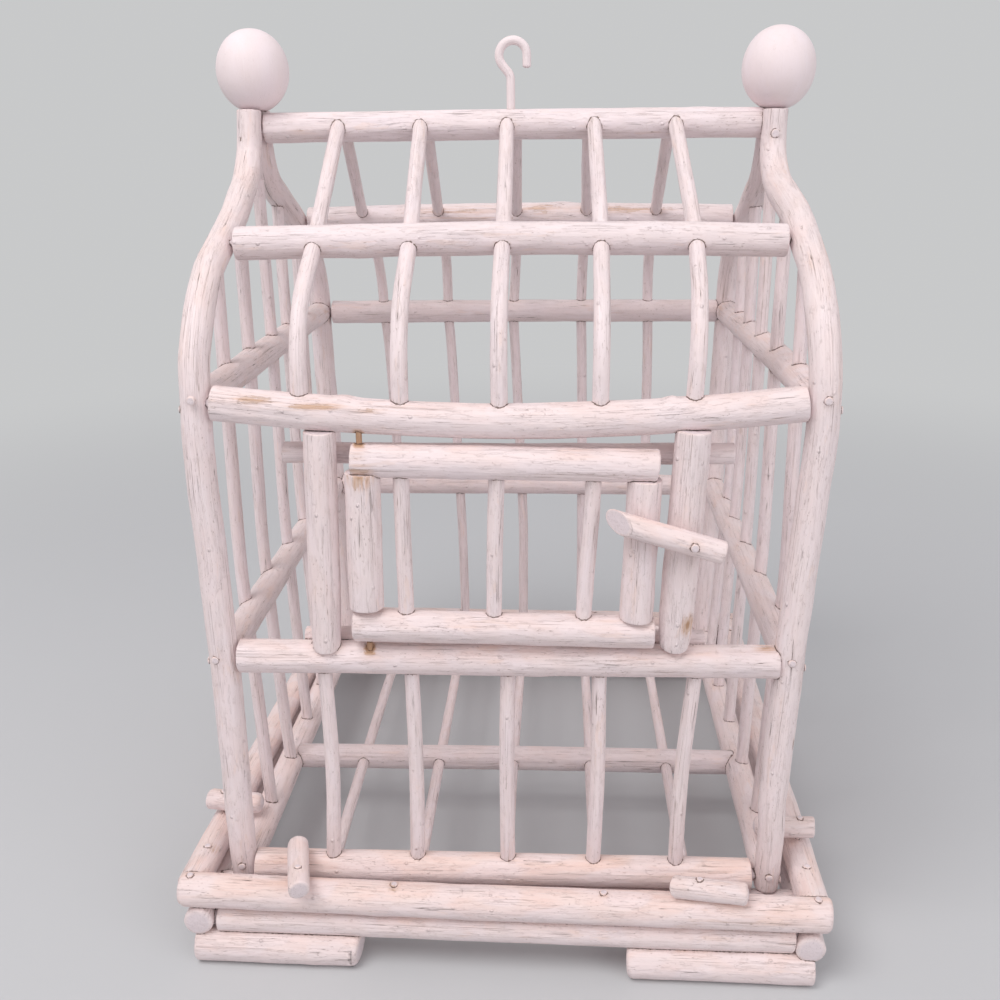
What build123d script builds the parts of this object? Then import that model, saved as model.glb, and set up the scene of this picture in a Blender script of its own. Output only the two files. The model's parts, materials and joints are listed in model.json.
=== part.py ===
from build123d import *
import os
from math import cos, radians, sin

# Decorative bird cage of peeled, whitewashed sticks: a bent-post cage with a
# hinged door, standing loose in a log-built base ring and held by turn-buttons.
# Millimetres, +Z up, origin on the ground under the middle, door towards -Y.

# Base ring, built like a log cabin: feet, lower logs, then a rim on top
foot_radius = 9.3
foot_flat = 0.8
foot_end_inset = 1.0
foot_length_left = 93.0
foot_length_right = 96.0
foot_overhang = 2.0
log_bite = 0.8
side_log_radius = 7.9
side_log_overhang = 7.0
cross_log_radius = 7.5
cross_log_setback = 1.0
rim_radius = 9.0
rim_overhang = 8.5
side_rim_radius = 8.4
ring_gap_x = 4.7
ring_gap_y = 9.5
bearer_radius = 7.0
base_turn_angle = -1.2
log_end_round = 1.6

# Corner posts, bent over to the ridge in one sweep
post_radius = 7.9
post_half_bottom = 144.0
post_half_top = 150.0
post_spread_drop = 12.4
post_axis_y = 150.0
knee_rise = 33.6
post_knee_bend = 60.0
post_spread_bend = 100.0
post_roof_bend = 250.0
post_neck_gap = 0.1
post_neck_drop = 25.0
post_neck_bend = 32.0
post_top_rise = 9.4

# Rails between the posts, heights above the bottom rail's axis
lower_rail_height = 128.3
mid_rail_height = 262.4
mid_rail_sag = 7.0
shoulder_rise = 36.5
shoulder_setback = 59.0
roof_rise = 57.5
bottom_rail_radius = 8.5
side_bottom_rail_radius = 8.0
lower_rail_radius = 8.7
rear_lower_rail_radius = 7.8
side_lower_rail_radius = 7.9
mid_rail_radius = 8.6
rear_mid_rail_radius = 8.1
side_mid_rail_radius = 8.0
shoulder_radius = 8.4
ridge_radius = 8.9
rail_cope = 3.0
cage_rest_gap = 0.3
post_spread_height = mid_rail_height - post_spread_drop
post_knee_height = mid_rail_height + knee_rise
shoulder_height = post_knee_height + shoulder_rise
shoulder_y = post_axis_y - shoulder_setback
ridge_height = shoulder_height + roof_rise
post_neck_y = post_radius + post_neck_gap
post_neck_height = ridge_height - post_neck_drop
post_top_height = ridge_height + post_top_rise

# Rods and spindles
rod_radius = 4.0
rod_pitch = 48.5
rod_ridge_inset = 5.0
rod_shoulder_bend = 300.0
rod_knee_rise = 4.0
rod_knee_bend = 50.0
rod_end_rise = 4.6
rod_knee_height = post_knee_height + rod_knee_rise
rod_end_height = mid_rail_height - mid_rail_sag + rod_end_rise
spindle_radius = 3.75
spindle_inset = 4.0
wall_pitch_bottom = 49.0
wall_pitch_top = 43.0
wall_bend = 400.0
rods_per_wall = 5
floor_bar_radius = 3.3
floor_bar_inset = 4.0
cross_rail_radius = 7.7
cross_rail_y = -38.0

# Finials and hanging hook
finial_half_width = 20.8
finial_half_height = 22.4
finial_seat_depth = 1.6
post_head_lean = 1.5
finial_spread = post_half_top - post_head_lean
finial_height = post_top_height + finial_half_height - finial_seat_depth
hook_wire_radius = 2.45
hook_loop_radius = 7.9
hook_loop_offset = 0.4
hook_stem_x = -0.6
hook_neck_bend = 6.0
hook_neck_angle = 40.0
hook_loop_rise = 37.0
hook_loop_height = ridge_height + hook_loop_rise
hook_tip_drop = 6.4
hook_inset = 7.0

# Door, hung a little in front of the wall between the mid and lower rails
door_offset = 4.5
door_gap_top = 5.2
door_gap_bottom = 2.4
door_top_radius = 8.0
door_bottom_radius = 7.6
door_gap_left = 6.3
door_gap_right = 3.9
door_rail_round = 1.4
hinge_inset = 5.0
stile_radius_left = 9.1
stile_radius_right = 8.5
stile_inset_right = 8.0
door_spindle_shares = (0.136, 0.4706, 0.8088)
door_axis_y = -(post_axis_y + door_offset)
mid_rail_underside = mid_rail_height - mid_rail_sag - mid_rail_radius
door_top_height = mid_rail_underside - door_gap_top - door_top_radius
lower_rail_topside = lower_rail_height + lower_rail_radius
door_bottom_height = lower_rail_topside + door_gap_bottom + door_bottom_radius

# Door frame: leaning jambs lapped over the rails, thin stops behind them
jamb_radius_left = 8.1
jamb_radius_right = 8.7
jamb_left_x_low = -91.7
jamb_left_x_high = -88.4
jamb_right_x_low = 87.6
jamb_right_x_high = 90.4
jamb_top_drop = 11.4
stop_radius = 5.3
stop_setback = 10.0
stop_bite = 0.4
stop_upper_rise = 1.7
stop_lower_rise = 9.3
stop_upper_overhang_left = 12.0
stop_upper_overhang_right = 11.4
stop_lower_overhang_left = 7.2
stop_lower_overhang_right = 6.2
jamb_top_height = mid_rail_height - jamb_top_drop
stop_axis_y = stop_setback - post_axis_y
jamb_back_y = stop_axis_y - stop_radius + stop_bite
stop_upper_left_x = jamb_left_x_high - jamb_radius_left - stop_upper_overhang_left
stop_upper_right_x = jamb_right_x_high + jamb_radius_right + stop_upper_overhang_right
stop_lower_left_x = jamb_left_x_low - jamb_radius_left - stop_lower_overhang_left
stop_lower_right_x = jamb_right_x_low + jamb_radius_right + stop_lower_overhang_right
door_left_x = jamb_left_x_high + jamb_radius_left + door_gap_left
door_right_x = jamb_right_x_low - jamb_radius_right - door_gap_right
hinge_x = door_left_x + hinge_inset
stile_right_x = door_right_x - stile_inset_right

# Nails: plain round wire with a small flat head
nail_radius = 1.2
nail_head_radius = 2.2
nail_head_height = 0.8
nail_length = 26.0
nail_running_gap = 0.06
nail_head_gap = 0.2
bore_overrun = 1.0
rim_nail_shift = 0.5
side_nail_end_inset = 27.0
hinge_nail_top_inset = 1.4
hinge_nail_bottom_inset = 4.3
hinge_nail_depth = 18.0
post_nail_shift = 3.0

# Latch, a turning stick on one nail in the right jamb
latch_radius = 5.6
latch_gap = 0.4
latch_nail_shift = 1.4
latch_drop = 34.8
latch_slope_angle = 16.5
latch_long_arm = 44.0
latch_short_arm = 17.5
latch_tip_angle = 52.0
latch_end_round = 1.4
latch_nail_depth = 13.0
latch_pivot_height = door_top_height - latch_drop
latch_axis_y = door_axis_y - stile_radius_right - latch_gap - latch_radius
latch_share = (latch_pivot_height - lower_rail_height) / (jamb_top_height - lower_rail_height)
jamb_lean = jamb_right_x_high - jamb_right_x_low
latch_pivot_x = jamb_right_x_low + jamb_lean * latch_share + latch_nail_shift

# Turn-buttons that hold the cage down in the base
button_radius = 6.0
button_gap = 0.3
button_round = 4.2
button_nail_depth = 11.0
front_left_button_x = -104.8
front_left_button_forward = 5.0
front_left_button_angle = 103.5
front_left_long_arm = 30.0
front_left_short_arm = 13.0
front_right_button_x = 104.3
front_right_button_angle = -8.0
front_right_long_arm = 24.5
front_right_short_arm = 15.5
left_button_y = -116.5
left_button_angle = -7.0
left_long_arm = 23.0
left_short_arm = 10.0
right_button_y = -125.1
right_button_angle = 180.0
right_long_arm = 25.0
right_short_arm = 9.0

# Plan of the base: a ring a little clear of the cage, its sticks lapping past
# one another at the corners
side_log_half_spread = post_half_bottom + post_radius + ring_gap_x + side_rim_radius
rim_axis_y = post_axis_y + bottom_rail_radius + ring_gap_y + rim_radius
rim_half_length = side_log_half_spread + rim_overhang
side_log_half_length = rim_axis_y + side_log_overhang
cross_log_axis_y = rim_axis_y - cross_log_setback
foot_axis_y = rim_axis_y + foot_overhang
foot_half_spread = side_log_half_spread - foot_end_inset

# Stack heights of the base, each layer biting into the one below
foot_z = foot_radius - foot_flat
side_log_z = foot_z + foot_radius + side_log_radius - log_bite
rim_z = side_log_z + side_log_radius + rim_radius - log_bite
side_rim_z = side_log_z + side_log_radius + side_rim_radius - log_bite
bearer_z = side_log_z
cage_z = bearer_z + bearer_radius + cage_rest_gap + bottom_rail_radius
button_z = rim_z + rim_radius + button_radius + button_gap

sides = (("left", -1), ("right", 1))
ends = (("front", -1), ("rear", 1))
rod_steps = [i - (rods_per_wall - 1) / 2 for i in range(rods_per_wall)]


def at(x, y, height):
    """A point of the cage, its height counted from the bottom rail's axis."""
    return Vector(x, y, cage_z + height)


def on_base(x, y, z):
    """A point of the base ring, which sits turned a little under the cage."""
    return Vector(x, y, z).rotate(Axis.Z, base_turn_angle)


# Each turn-button's name, pivot on the rim, heading and arms
buttons = (
    (
        "button_front_left",
        on_base(front_left_button_x, -(rim_axis_y + front_left_button_forward), button_z),
        front_left_button_angle,
        front_left_long_arm,
        front_left_short_arm,
    ),
    (
        "button_front_right",
        on_base(front_right_button_x, -rim_axis_y, button_z),
        front_right_button_angle,
        front_right_long_arm,
        front_right_short_arm,
    ),
    (
        "button_left",
        on_base(-side_log_half_spread, left_button_y, button_z),
        left_button_angle,
        left_long_arm,
        left_short_arm,
    ),
    (
        "button_right",
        on_base(side_log_half_spread, right_button_y, button_z),
        right_button_angle,
        right_long_arm,
        right_short_arm,
    ),
)


def stick(start, end, radius, end_round=0.0):
    """A straight round stick, its two end edges rounded if asked."""
    run = end - start
    with BuildPart() as body:
        with BuildSketch(Plane(origin=start, z_dir=run)):
            Circle(radius)
        extrude(amount=run.length)
        if end_round:
            fillet(body.edges().filter_by(GeomType.CIRCLE), radius=end_round)
    return body.part


def bent_stick(points, bends, radius):
    """A round stick bent through its points, with one radius per corner."""
    with BuildPart() as body:
        with BuildLine() as path:
            FilletPolyline(*points, radius=bends)
        with BuildSketch(Plane(origin=path.line @ 0, z_dir=path.line % 0)):
            Circle(radius)
        sweep(path=path.line)
    return body.part


def nail(head, direction, length, radius=nail_radius):
    """A nail whose head sits on the point head, its shank along direction."""
    with BuildPart() as body:
        with BuildSketch(Plane(origin=head, z_dir=direction)):
            Circle(radius)
        extrude(amount=length)
        with BuildSketch(Plane(origin=head, z_dir=-direction)):
            Circle(nail_head_radius)
        extrude(amount=nail_head_height)
    return body.part


def cut(*tools):
    """Takes each tool out of the part being built."""
    for tool in tools:
        add(tool, mode=Mode.SUBTRACT)


def save(builder, name):
    builder.part.label = name
    export_step(builder.part, f"parts/{name}.step")


def post_x(height):
    """How far out a post stands at a height: the cage widens upwards."""
    rise = max(0.0, min(height / post_spread_height, 1.0))
    return post_half_bottom + (post_half_top - post_half_bottom) * rise


def roof_height(y):
    """Height of the posts' axis over a depth y, between knee and neck."""
    y = abs(y)
    if y > shoulder_y:
        share = (y - shoulder_y) / (post_axis_y - shoulder_y)
        return shoulder_height + (post_knee_height - shoulder_height) * share
    share = (y - post_neck_y) / (shoulder_y - post_neck_y)
    return post_neck_height + (shoulder_height - post_neck_height) * share


def post_shape(side, end):
    foot_height = -bottom_rail_radius  # flush with the bottom rails' underside
    points = [
        at(side * post_x(0), end * post_axis_y, foot_height),
        at(side * post_half_top, end * post_axis_y, post_spread_height),
        at(side * post_half_top, end * post_axis_y, post_knee_height),
        at(side * post_half_top, end * shoulder_y, shoulder_height),
        at(side * finial_spread, end * post_neck_y, post_neck_height),
        at(side * finial_spread, end * post_neck_y, post_top_height),
    ]
    bends = [post_spread_bend, post_knee_bend, post_roof_bend, post_neck_bend]
    return bent_stick(points, bends, post_radius)


def roof_rod_shape(x, end):
    """A rod from the ridge over the shoulder rail and down into a wall."""
    slope = Vector(0, shoulder_y, shoulder_height - ridge_height).normalized()
    start_y, drop = slope.Y * rod_ridge_inset, slope.Z * rod_ridge_inset
    last = rod_end_height if end < 0 else spindle_inset
    points = [
        at(x, end * start_y, ridge_height + drop),
        at(x, end * shoulder_y, shoulder_height),
        at(x, end * post_axis_y, rod_knee_height),
        at(x, end * post_axis_y, last),
    ]
    return bent_stick(points, [rod_shoulder_bend, rod_knee_bend], rod_radius)


def wall_spindle_shape(side, step):
    """A side-wall spindle from the bottom rail up under the posts' curve."""
    low_y, high_y = step * wall_pitch_bottom, step * wall_pitch_top
    top = roof_height(high_y)
    points = [
        at(side * post_x(spindle_inset), low_y, spindle_inset),
        at(side * post_half_top, high_y, mid_rail_height),
        at(side * post_half_top, high_y, top),
    ]
    return bent_stick(points, [wall_bend], rod_radius)


def cross_rail_shape(end, height, radius, y=post_axis_y):
    """A rail along X between two posts, reaching a little into each."""
    reach = post_x(height) - rail_cope
    return stick(at(-reach, end * y, height), at(reach, end * y, height), radius)


def side_rail_shape(side, height, radius):
    x, reach = side * post_x(height), post_axis_y - rail_cope
    return stick(at(x, -reach, height), at(x, reach, height), radius)


def sagging_rail_shape():
    """The front mid rail, a stick bowed downwards between its posts."""
    reach = post_x(mid_rail_height) - rail_cope
    with BuildPart() as body:
        with BuildLine() as path:
            ThreePointArc(
                at(-reach, -post_axis_y, mid_rail_height),
                at(0, -post_axis_y, mid_rail_height - mid_rail_sag),
                at(reach, -post_axis_y, mid_rail_height),
            )
        with BuildSketch(Plane(origin=path.line @ 0, z_dir=path.line % 0)):
            Circle(mid_rail_radius)
        sweep(path=path.line)
    return body.part


# Shapes that several pieces are fitted to
posts = {(e, s): post_shape(sx, ey) for e, ey in ends for s, sx in sides}
roof_rods = [roof_rod_shape(i * rod_pitch, -1) for i in rod_steps]
rear_rods = [roof_rod_shape(i * rod_pitch, 1) for i in rod_steps]
wall_spindles = {s: [wall_spindle_shape(sx, i) for i in rod_steps] for s, sx in sides}
front_spindles = [
    stick(
        at(i * rod_pitch, -post_axis_y, spindle_inset),
        at(i * rod_pitch, -post_axis_y, lower_rail_height - spindle_inset),
        spindle_radius,
    )
    for i in rod_steps
]
floor_bar_reach = post_axis_y - floor_bar_inset
floor_bars = [
    stick(
        at(i * rod_pitch, -floor_bar_reach, 0),
        at(i * rod_pitch, floor_bar_reach, 0),
        floor_bar_radius,
    )
    for i in rod_steps
]
front_posts = [posts["front", "left"], posts["front", "right"]]
rear_posts = [posts["rear", "left"], posts["rear", "right"]]

# Rails along X, and the heights and radii of the side rails level with them
front_rails = {
    "bottom": cross_rail_shape(-1, 0, bottom_rail_radius),
    "lower": cross_rail_shape(-1, lower_rail_height, lower_rail_radius),
    "mid": sagging_rail_shape(),
}
rear_rails = {
    "bottom": cross_rail_shape(1, 0, bottom_rail_radius),
    "lower": cross_rail_shape(1, lower_rail_height, rear_lower_rail_radius),
    "mid": cross_rail_shape(1, mid_rail_height, rear_mid_rail_radius),
}
rail_levels = {
    "bottom": (0.0, side_bottom_rail_radius),
    "lower": (lower_rail_height, side_lower_rail_radius),
    "mid": (mid_rail_height, side_mid_rail_radius),
}

# Nails through the posts into the rails' ends: across for the rails along X,
# lengthwise and a little higher for the side rails
frame_nails = []
for level, (height, _) in rail_levels.items():
    for _, sx in sides:
        for _, ey in ends:
            x, y = sx * post_x(height), ey * post_axis_y
            across = at(x + sx * post_radius, y, height - post_nail_shift)
            frame_nails.append(nail(across, Vector(-sx, 0, 0), nail_length))
            along = at(x, y + ey * post_radius, height + post_nail_shift)
            frame_nails.append(nail(along, Vector(0, -ey, 0), nail_length))

# Hinge nails, driven through the mid and lower rails into the door's ends
hinge_nails = []
hinge_bores = []
hinge_drives = (
    (mid_rail_height - hinge_nail_top_inset, door_top_height - hinge_nail_depth),
    (lower_rail_height - hinge_nail_bottom_inset, door_bottom_height + hinge_nail_depth),
)
for fixed_end, free_end in hinge_drives:
    start, stop = at(hinge_x, door_axis_y, fixed_end), at(hinge_x, door_axis_y, free_end)
    hinge_nails.append(stick(start, stop, nail_radius))
    bore_end = stop + (stop - start).normalized() * bore_overrun
    hinge_bores.append(stick(start, bore_end, nail_radius + nail_running_gap))

# Latch nail, straight into the right jamb
latch_face_y = latch_axis_y - latch_radius
latch_nail_head = at(latch_pivot_x, latch_face_y - nail_head_gap, latch_pivot_height)
inward = Vector(0, 1, 0)
latch_nail_length = 2 * latch_radius + nail_head_gap + latch_nail_depth
latch_nail_shape = nail(latch_nail_head, inward, latch_nail_length)
latch_bore = stick(
    latch_nail_head - inward * bore_overrun,
    latch_nail_head + inward * latch_nail_length,
    nail_radius + nail_running_gap,
)

# Nails of the base: four along each rim stick, two down each side, and one
# for each turn-button
base_nails = []
rim_nail_length = rim_radius + side_log_radius
rim_nail_x = side_log_half_spread + rim_nail_shift
for x in (-rim_nail_x, -rim_nail_x / 3, rim_nail_x / 3, rim_nail_x):
    for _, ey in ends:
        head = on_base(x, ey * rim_axis_y, rim_z + rim_radius)
        base_nails.append(nail(head, Vector(0, 0, -1), rim_nail_length))
side_nail_y = rim_axis_y - side_nail_end_inset
for _, sx in sides:
    for _, ey in ends:
        head = on_base(sx * side_log_half_spread, ey * side_nail_y, side_rim_z + side_rim_radius)
        base_nails.append(nail(head, Vector(0, 0, -1), rim_nail_length))
button_nail_length = 2 * button_radius + nail_head_gap + button_nail_depth
button_nails = {}
button_bores = {}
for name, centre, *_ in buttons:
    head = centre + Vector(0, 0, button_radius + nail_head_gap)
    button_nails[name] = nail(head, Vector(0, 0, -1), button_nail_length)
    button_bores[name] = stick(
        head + Vector(0, 0, bore_overrun),
        head - Vector(0, 0, button_nail_length),
        nail_radius + nail_running_gap,
    )
base_nails += button_nails.values()

# Logs of the base
foot_shapes = {}
for e, ey in ends:
    for s, sx in sides:
        inner = foot_half_spread - (foot_length_left if sx * ey > 0 else foot_length_right)
        foot_shapes[e, s] = stick(
            on_base(sx * inner, ey * foot_axis_y, foot_z),
            on_base(sx * foot_half_spread, ey * foot_axis_y, foot_z),
            foot_radius,
            log_end_round,
        )
side_log_shapes = {
    s: stick(
        on_base(sx * side_log_half_spread, -side_log_half_length, side_log_z),
        on_base(sx * side_log_half_spread, side_log_half_length, side_log_z),
        side_log_radius,
        log_end_round,
    )
    for s, sx in sides
}
cross_log_shapes = {
    e: stick(
        on_base(-side_log_half_spread, ey * cross_log_axis_y, side_log_z),
        on_base(side_log_half_spread, ey * cross_log_axis_y, side_log_z),
        cross_log_radius,
    )
    for e, ey in ends
}
rim_shapes = {
    e: stick(
        on_base(-rim_half_length, ey * rim_axis_y, rim_z),
        on_base(rim_half_length, ey * rim_axis_y, rim_z),
        rim_radius,
        log_end_round,
    )
    for e, ey in ends
}

os.makedirs("parts", exist_ok=True)

# Feet, planed flat underneath
for (e, s), shape in foot_shapes.items():
    with BuildPart() as foot:
        add(shape)
        split(bisect_by=Plane.XY, keep=Keep.TOP)
    save(foot, f"foot_{e}_{s}")

# Side logs of the lower layer, notched over the feet
for s, shape in side_log_shapes.items():
    with BuildPart() as side_log:
        add(shape)
        cut(*foot_shapes.values(), *base_nails)
    save(side_log, f"base_log_{s}")

# Cross logs of the lower layer, coped between the side logs
for e, shape in cross_log_shapes.items():
    with BuildPart() as cross_log:
        add(shape)
        cut(*foot_shapes.values(), *side_log_shapes.values(), *base_nails)
    save(cross_log, f"base_log_{e}")

# Rim, front and rear sticks lying across the side logs' ends
for e, shape in rim_shapes.items():
    with BuildPart() as rim:
        add(shape)
        cut(*side_log_shapes.values(), cross_log_shapes[e], *base_nails)
    save(rim, f"base_rim_{e}")

# Rim, side sticks butted between the front and rear ones
for s, sx in sides:
    with BuildPart() as side_rim:
        add(
            stick(
                on_base(sx * side_log_half_spread, -rim_axis_y, side_rim_z),
                on_base(sx * side_log_half_spread, rim_axis_y, side_rim_z),
                side_rim_radius,
            )
        )
        cut(*rim_shapes.values(), *side_log_shapes.values(), *base_nails)
    save(side_rim, f"base_rim_{s}")

# Bearers across the ring that the cage's bottom rails stand on
with BuildPart() as bearers:
    for _, ey in ends:
        add(
            stick(
                on_base(-side_log_half_spread, ey * post_axis_y, bearer_z),
                on_base(side_log_half_spread, ey * post_axis_y, bearer_z),
                bearer_radius,
            )
        )
    cut(*side_log_shapes.values())
save(bearers, "base_bearers")

with BuildPart() as base_nail_group:
    for shape in base_nails:
        add(shape)
save(base_nail_group, "base_nails")

# Corner posts, bored for the nails
for (e, s), shape in posts.items():
    with BuildPart() as post:
        add(shape)
        cut(*frame_nails)
    save(post, f"post_{e}_{s}")

# Hook, one wire: tip, loop, slanting neck and a stem screwed into the ridge
with BuildPart() as hook:
    with BuildLine(Plane.XZ) as wire:
        tip_x = hook_loop_offset + hook_loop_radius
        tip_z = cage_z + hook_loop_height - hook_tip_drop
        tail = Line((tip_x, tip_z), (tip_x, tip_z + hook_tip_drop))
        loop = JernArc(tail @ 1, tail % 1, hook_loop_radius, 180 + hook_neck_angle)
        neck_turn = hook_neck_bend * (1 - cos(radians(hook_neck_angle)))
        slant = (hook_stem_x - neck_turn - (loop @ 1).X) / sin(radians(hook_neck_angle))
        slope = Line(loop @ 1, (loop @ 1) + (loop % 1) * slant)
        neck = JernArc(slope @ 1, slope % 1, hook_neck_bend, -hook_neck_angle)
        stem_end_z = cage_z + ridge_height + ridge_radius - hook_inset
        stem = Line(neck @ 1, ((neck @ 1).X, stem_end_z))
    with BuildSketch(Plane(origin=wire.line @ 0, z_dir=wire.line % 0)):
        Circle(hook_wire_radius)
    sweep(path=wire.line)
save(hook, "hook")

# Ridge pole between the pairs of post heads, bored for rods and hook
with BuildPart() as ridge_pole:
    reach = finial_spread - rail_cope
    add(stick(at(-reach, 0, ridge_height), at(reach, 0, ridge_height), ridge_radius))
    cut(*posts.values(), *roof_rods, *rear_rods, hook.part)
save(ridge_pole, "ridge_pole")

# Egg-shaped finials, cut flat underneath where they sit on the two post heads
for s, sx in sides:
    x, z = sx * finial_spread, cage_z + finial_height
    with BuildPart() as finial:
        with BuildSketch(Plane.XZ):
            with Locations((x, z)):
                Ellipse(finial_half_width, finial_half_height)
            with Locations((x - finial_half_width, z)):
                Rectangle(2 * finial_half_width, 2 * finial_half_height, mode=Mode.SUBTRACT)
        revolve(axis=Axis((x, 0, 0), (0, 0, 1)))
        split(bisect_by=Plane.XY.offset(cage_z + post_top_height), keep=Keep.TOP)
    save(finial, f"finial_{s}")

# Shoulder rails, which the roof rods pass through
for (e, ey), rods in zip(ends, (roof_rods, rear_rods)):
    with BuildPart() as shoulder:
        add(cross_rail_shape(ey, shoulder_height, shoulder_radius, shoulder_y))
        cut(posts[e, "left"], posts[e, "right"], *rods)
    save(shoulder, f"shoulder_rail_{e}")

# Front and rear rails of the walls, coped onto the posts
for level, shape in front_rails.items():
    with BuildPart() as rail:
        add(shape)
        cut(*front_posts, *roof_rods, *front_spindles, *floor_bars)
        cut(*frame_nails, *hinge_nails)
    save(rail, f"{level}_rail_front")

for level, shape in rear_rails.items():
    with BuildPart() as rail:
        add(shape)
        cut(*rear_posts, *rear_rods, *floor_bars, *frame_nails)
    save(rail, f"{level}_rail_rear")

# Side rails, drilled for the wall spindles
for level, (height, radius) in rail_levels.items():
    for s, sx in sides:
        with BuildPart() as rail:
            add(side_rail_shape(sx, height, radius))
            cut(posts["front", s], posts["rear", s])
            cut(front_rails[level], rear_rails[level])
            cut(*wall_spindles[s], *frame_nails)
        save(rail, f"{level}_rail_{s}")

# Floor: one rail across, and bars front to back through it
with BuildPart() as cross_rail:
    reach = post_x(0)
    add(stick(at(-reach, cross_rail_y, 0), at(reach, cross_rail_y, 0), cross_rail_radius))
    for _, sx in sides:
        cut(side_rail_shape(sx, 0, side_bottom_rail_radius))
    cut(*floor_bars)
save(cross_rail, "floor_cross_rail")

rod_groups = {
    "floor_bars": floor_bars,
    "roof_rods": roof_rods,
    "rear_wall_rods": rear_rods,
    "front_spindles": front_spindles,
}
for name, shapes in rod_groups.items():
    with BuildPart() as group:
        for shape in shapes:
            add(shape)
    save(group, name)

for s, _ in sides:
    with BuildPart() as group:
        for shape in wall_spindles[s]:
            add(shape)
        cut(posts["front", s], posts["rear", s])
    save(group, f"wall_spindles_{s}")

# Door jambs, notched over the mid and lower rails
jamb_sizes = {
    "left": (jamb_left_x_low, jamb_left_x_high, jamb_radius_left),
    "right": (jamb_right_x_low, jamb_right_x_high, jamb_radius_right),
}
jamb_shapes = {
    s: stick(
        at(low_x, jamb_back_y - radius, lower_rail_height),
        at(high_x, jamb_back_y - radius, jamb_top_height),
        radius,
        log_end_round,
    )
    for s, (low_x, high_x, radius) in jamb_sizes.items()
}
for s, shape in jamb_shapes.items():
    with BuildPart() as jamb:
        add(shape)
        cut(front_rails["mid"], front_rails["lower"], *roof_rods, latch_nail_shape)
    save(jamb, f"door_jamb_{s}")

# Door stops, two thin sticks nailed behind the jambs
stop_upper_height = door_top_height + stop_upper_rise
stop_lower_height = lower_rail_height + stop_lower_rise
stop_sizes = {
    "upper": (stop_upper_height, stop_upper_left_x, stop_upper_right_x),
    "lower": (stop_lower_height, stop_lower_left_x, stop_lower_right_x),
}
for level, (height, left, right) in stop_sizes.items():
    with BuildPart() as stop:
        add(stick(at(left, stop_axis_y, height), at(right, stop_axis_y, height), stop_radius))
        cut(*jamb_shapes.values(), front_rails["lower"], latch_nail_shape)
    save(stop, f"door_stop_{level}")

with BuildPart() as nail_group:
    for shape in frame_nails:
        add(shape)
save(nail_group, "frame_nails")

with BuildPart() as hinge_group:
    for shape in hinge_nails:
        add(shape)
save(hinge_group, "door_hinge_nails")

with BuildPart() as latch_nail:
    add(latch_nail_shape)
save(latch_nail, "latch_nail")

# Door: two rails, two stiles butted between them, three spindles
door_rail_shapes = {
    "top": stick(
        at(door_left_x, door_axis_y, door_top_height),
        at(door_right_x, door_axis_y, door_top_height),
        door_top_radius,
        door_rail_round,
    ),
    "bottom": stick(
        at(door_left_x, door_axis_y, door_bottom_height),
        at(door_right_x, door_axis_y, door_bottom_height),
        door_bottom_radius,
        door_rail_round,
    ),
}
door_spindle_places = [
    hinge_x + (stile_right_x - hinge_x) * share for share in door_spindle_shares
]
door_spindles = [
    stick(
        at(x, door_axis_y, door_bottom_height + spindle_inset),
        at(x, door_axis_y, door_top_height - spindle_inset),
        spindle_radius,
    )
    for x in door_spindle_places
]
for level, shape in door_rail_shapes.items():
    with BuildPart() as door_rail:
        add(shape)
        cut(*door_spindles, *hinge_bores)
    save(door_rail, f"door_{level}_rail")

stile_sizes = {
    "left": (hinge_x, stile_radius_left),
    "right": (stile_right_x, stile_radius_right),
}
for s, (x, radius) in stile_sizes.items():
    with BuildPart() as stile:
        low = at(x, door_axis_y, door_bottom_height + rail_cope)
        high = at(x, door_axis_y, door_top_height - rail_cope)
        add(stick(low, high, radius))
        cut(*door_rail_shapes.values(), *hinge_bores)
    save(stile, f"door_stile_{s}")

with BuildPart() as door_spindle_group:
    for shape in door_spindles:
        add(shape)
save(door_spindle_group, "door_spindles")

# Latch, its long arm whittled to a slanting tip
slant = Vector(-cos(radians(latch_slope_angle)), 0, sin(radians(latch_slope_angle)))
pivot = at(latch_pivot_x, latch_axis_y, latch_pivot_height)
tip = pivot + slant * latch_long_arm
with BuildPart() as latch:
    add(stick(pivot - slant * latch_short_arm, tip, latch_radius, latch_end_round))
    with BuildSketch(Plane(origin=tip, z_dir=slant).rotated((latch_tip_angle, 0, 0))):
        Rectangle(6 * latch_radius, 6 * latch_radius)
    extrude(amount=2 * latch_radius, mode=Mode.SUBTRACT)
    cut(latch_bore)
save(latch, "latch")

# Turn-buttons, short sticks with rounded ends on one nail each
for name, centre, heading, long_arm, short_arm in buttons:
    way = Vector(cos(radians(heading)), sin(radians(heading)), 0)
    with BuildPart() as button:
        add(
            stick(
                centre - way * short_arm,
                centre + way * long_arm,
                button_radius,
                button_round,
            )
        )
        cut(button_bores[name])
    save(button, name)
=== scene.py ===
import json
import math

import bpy
import numpy as np
from mathutils import Matrix, Vector
from mathutils.bvhtree import BVHTree

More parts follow.
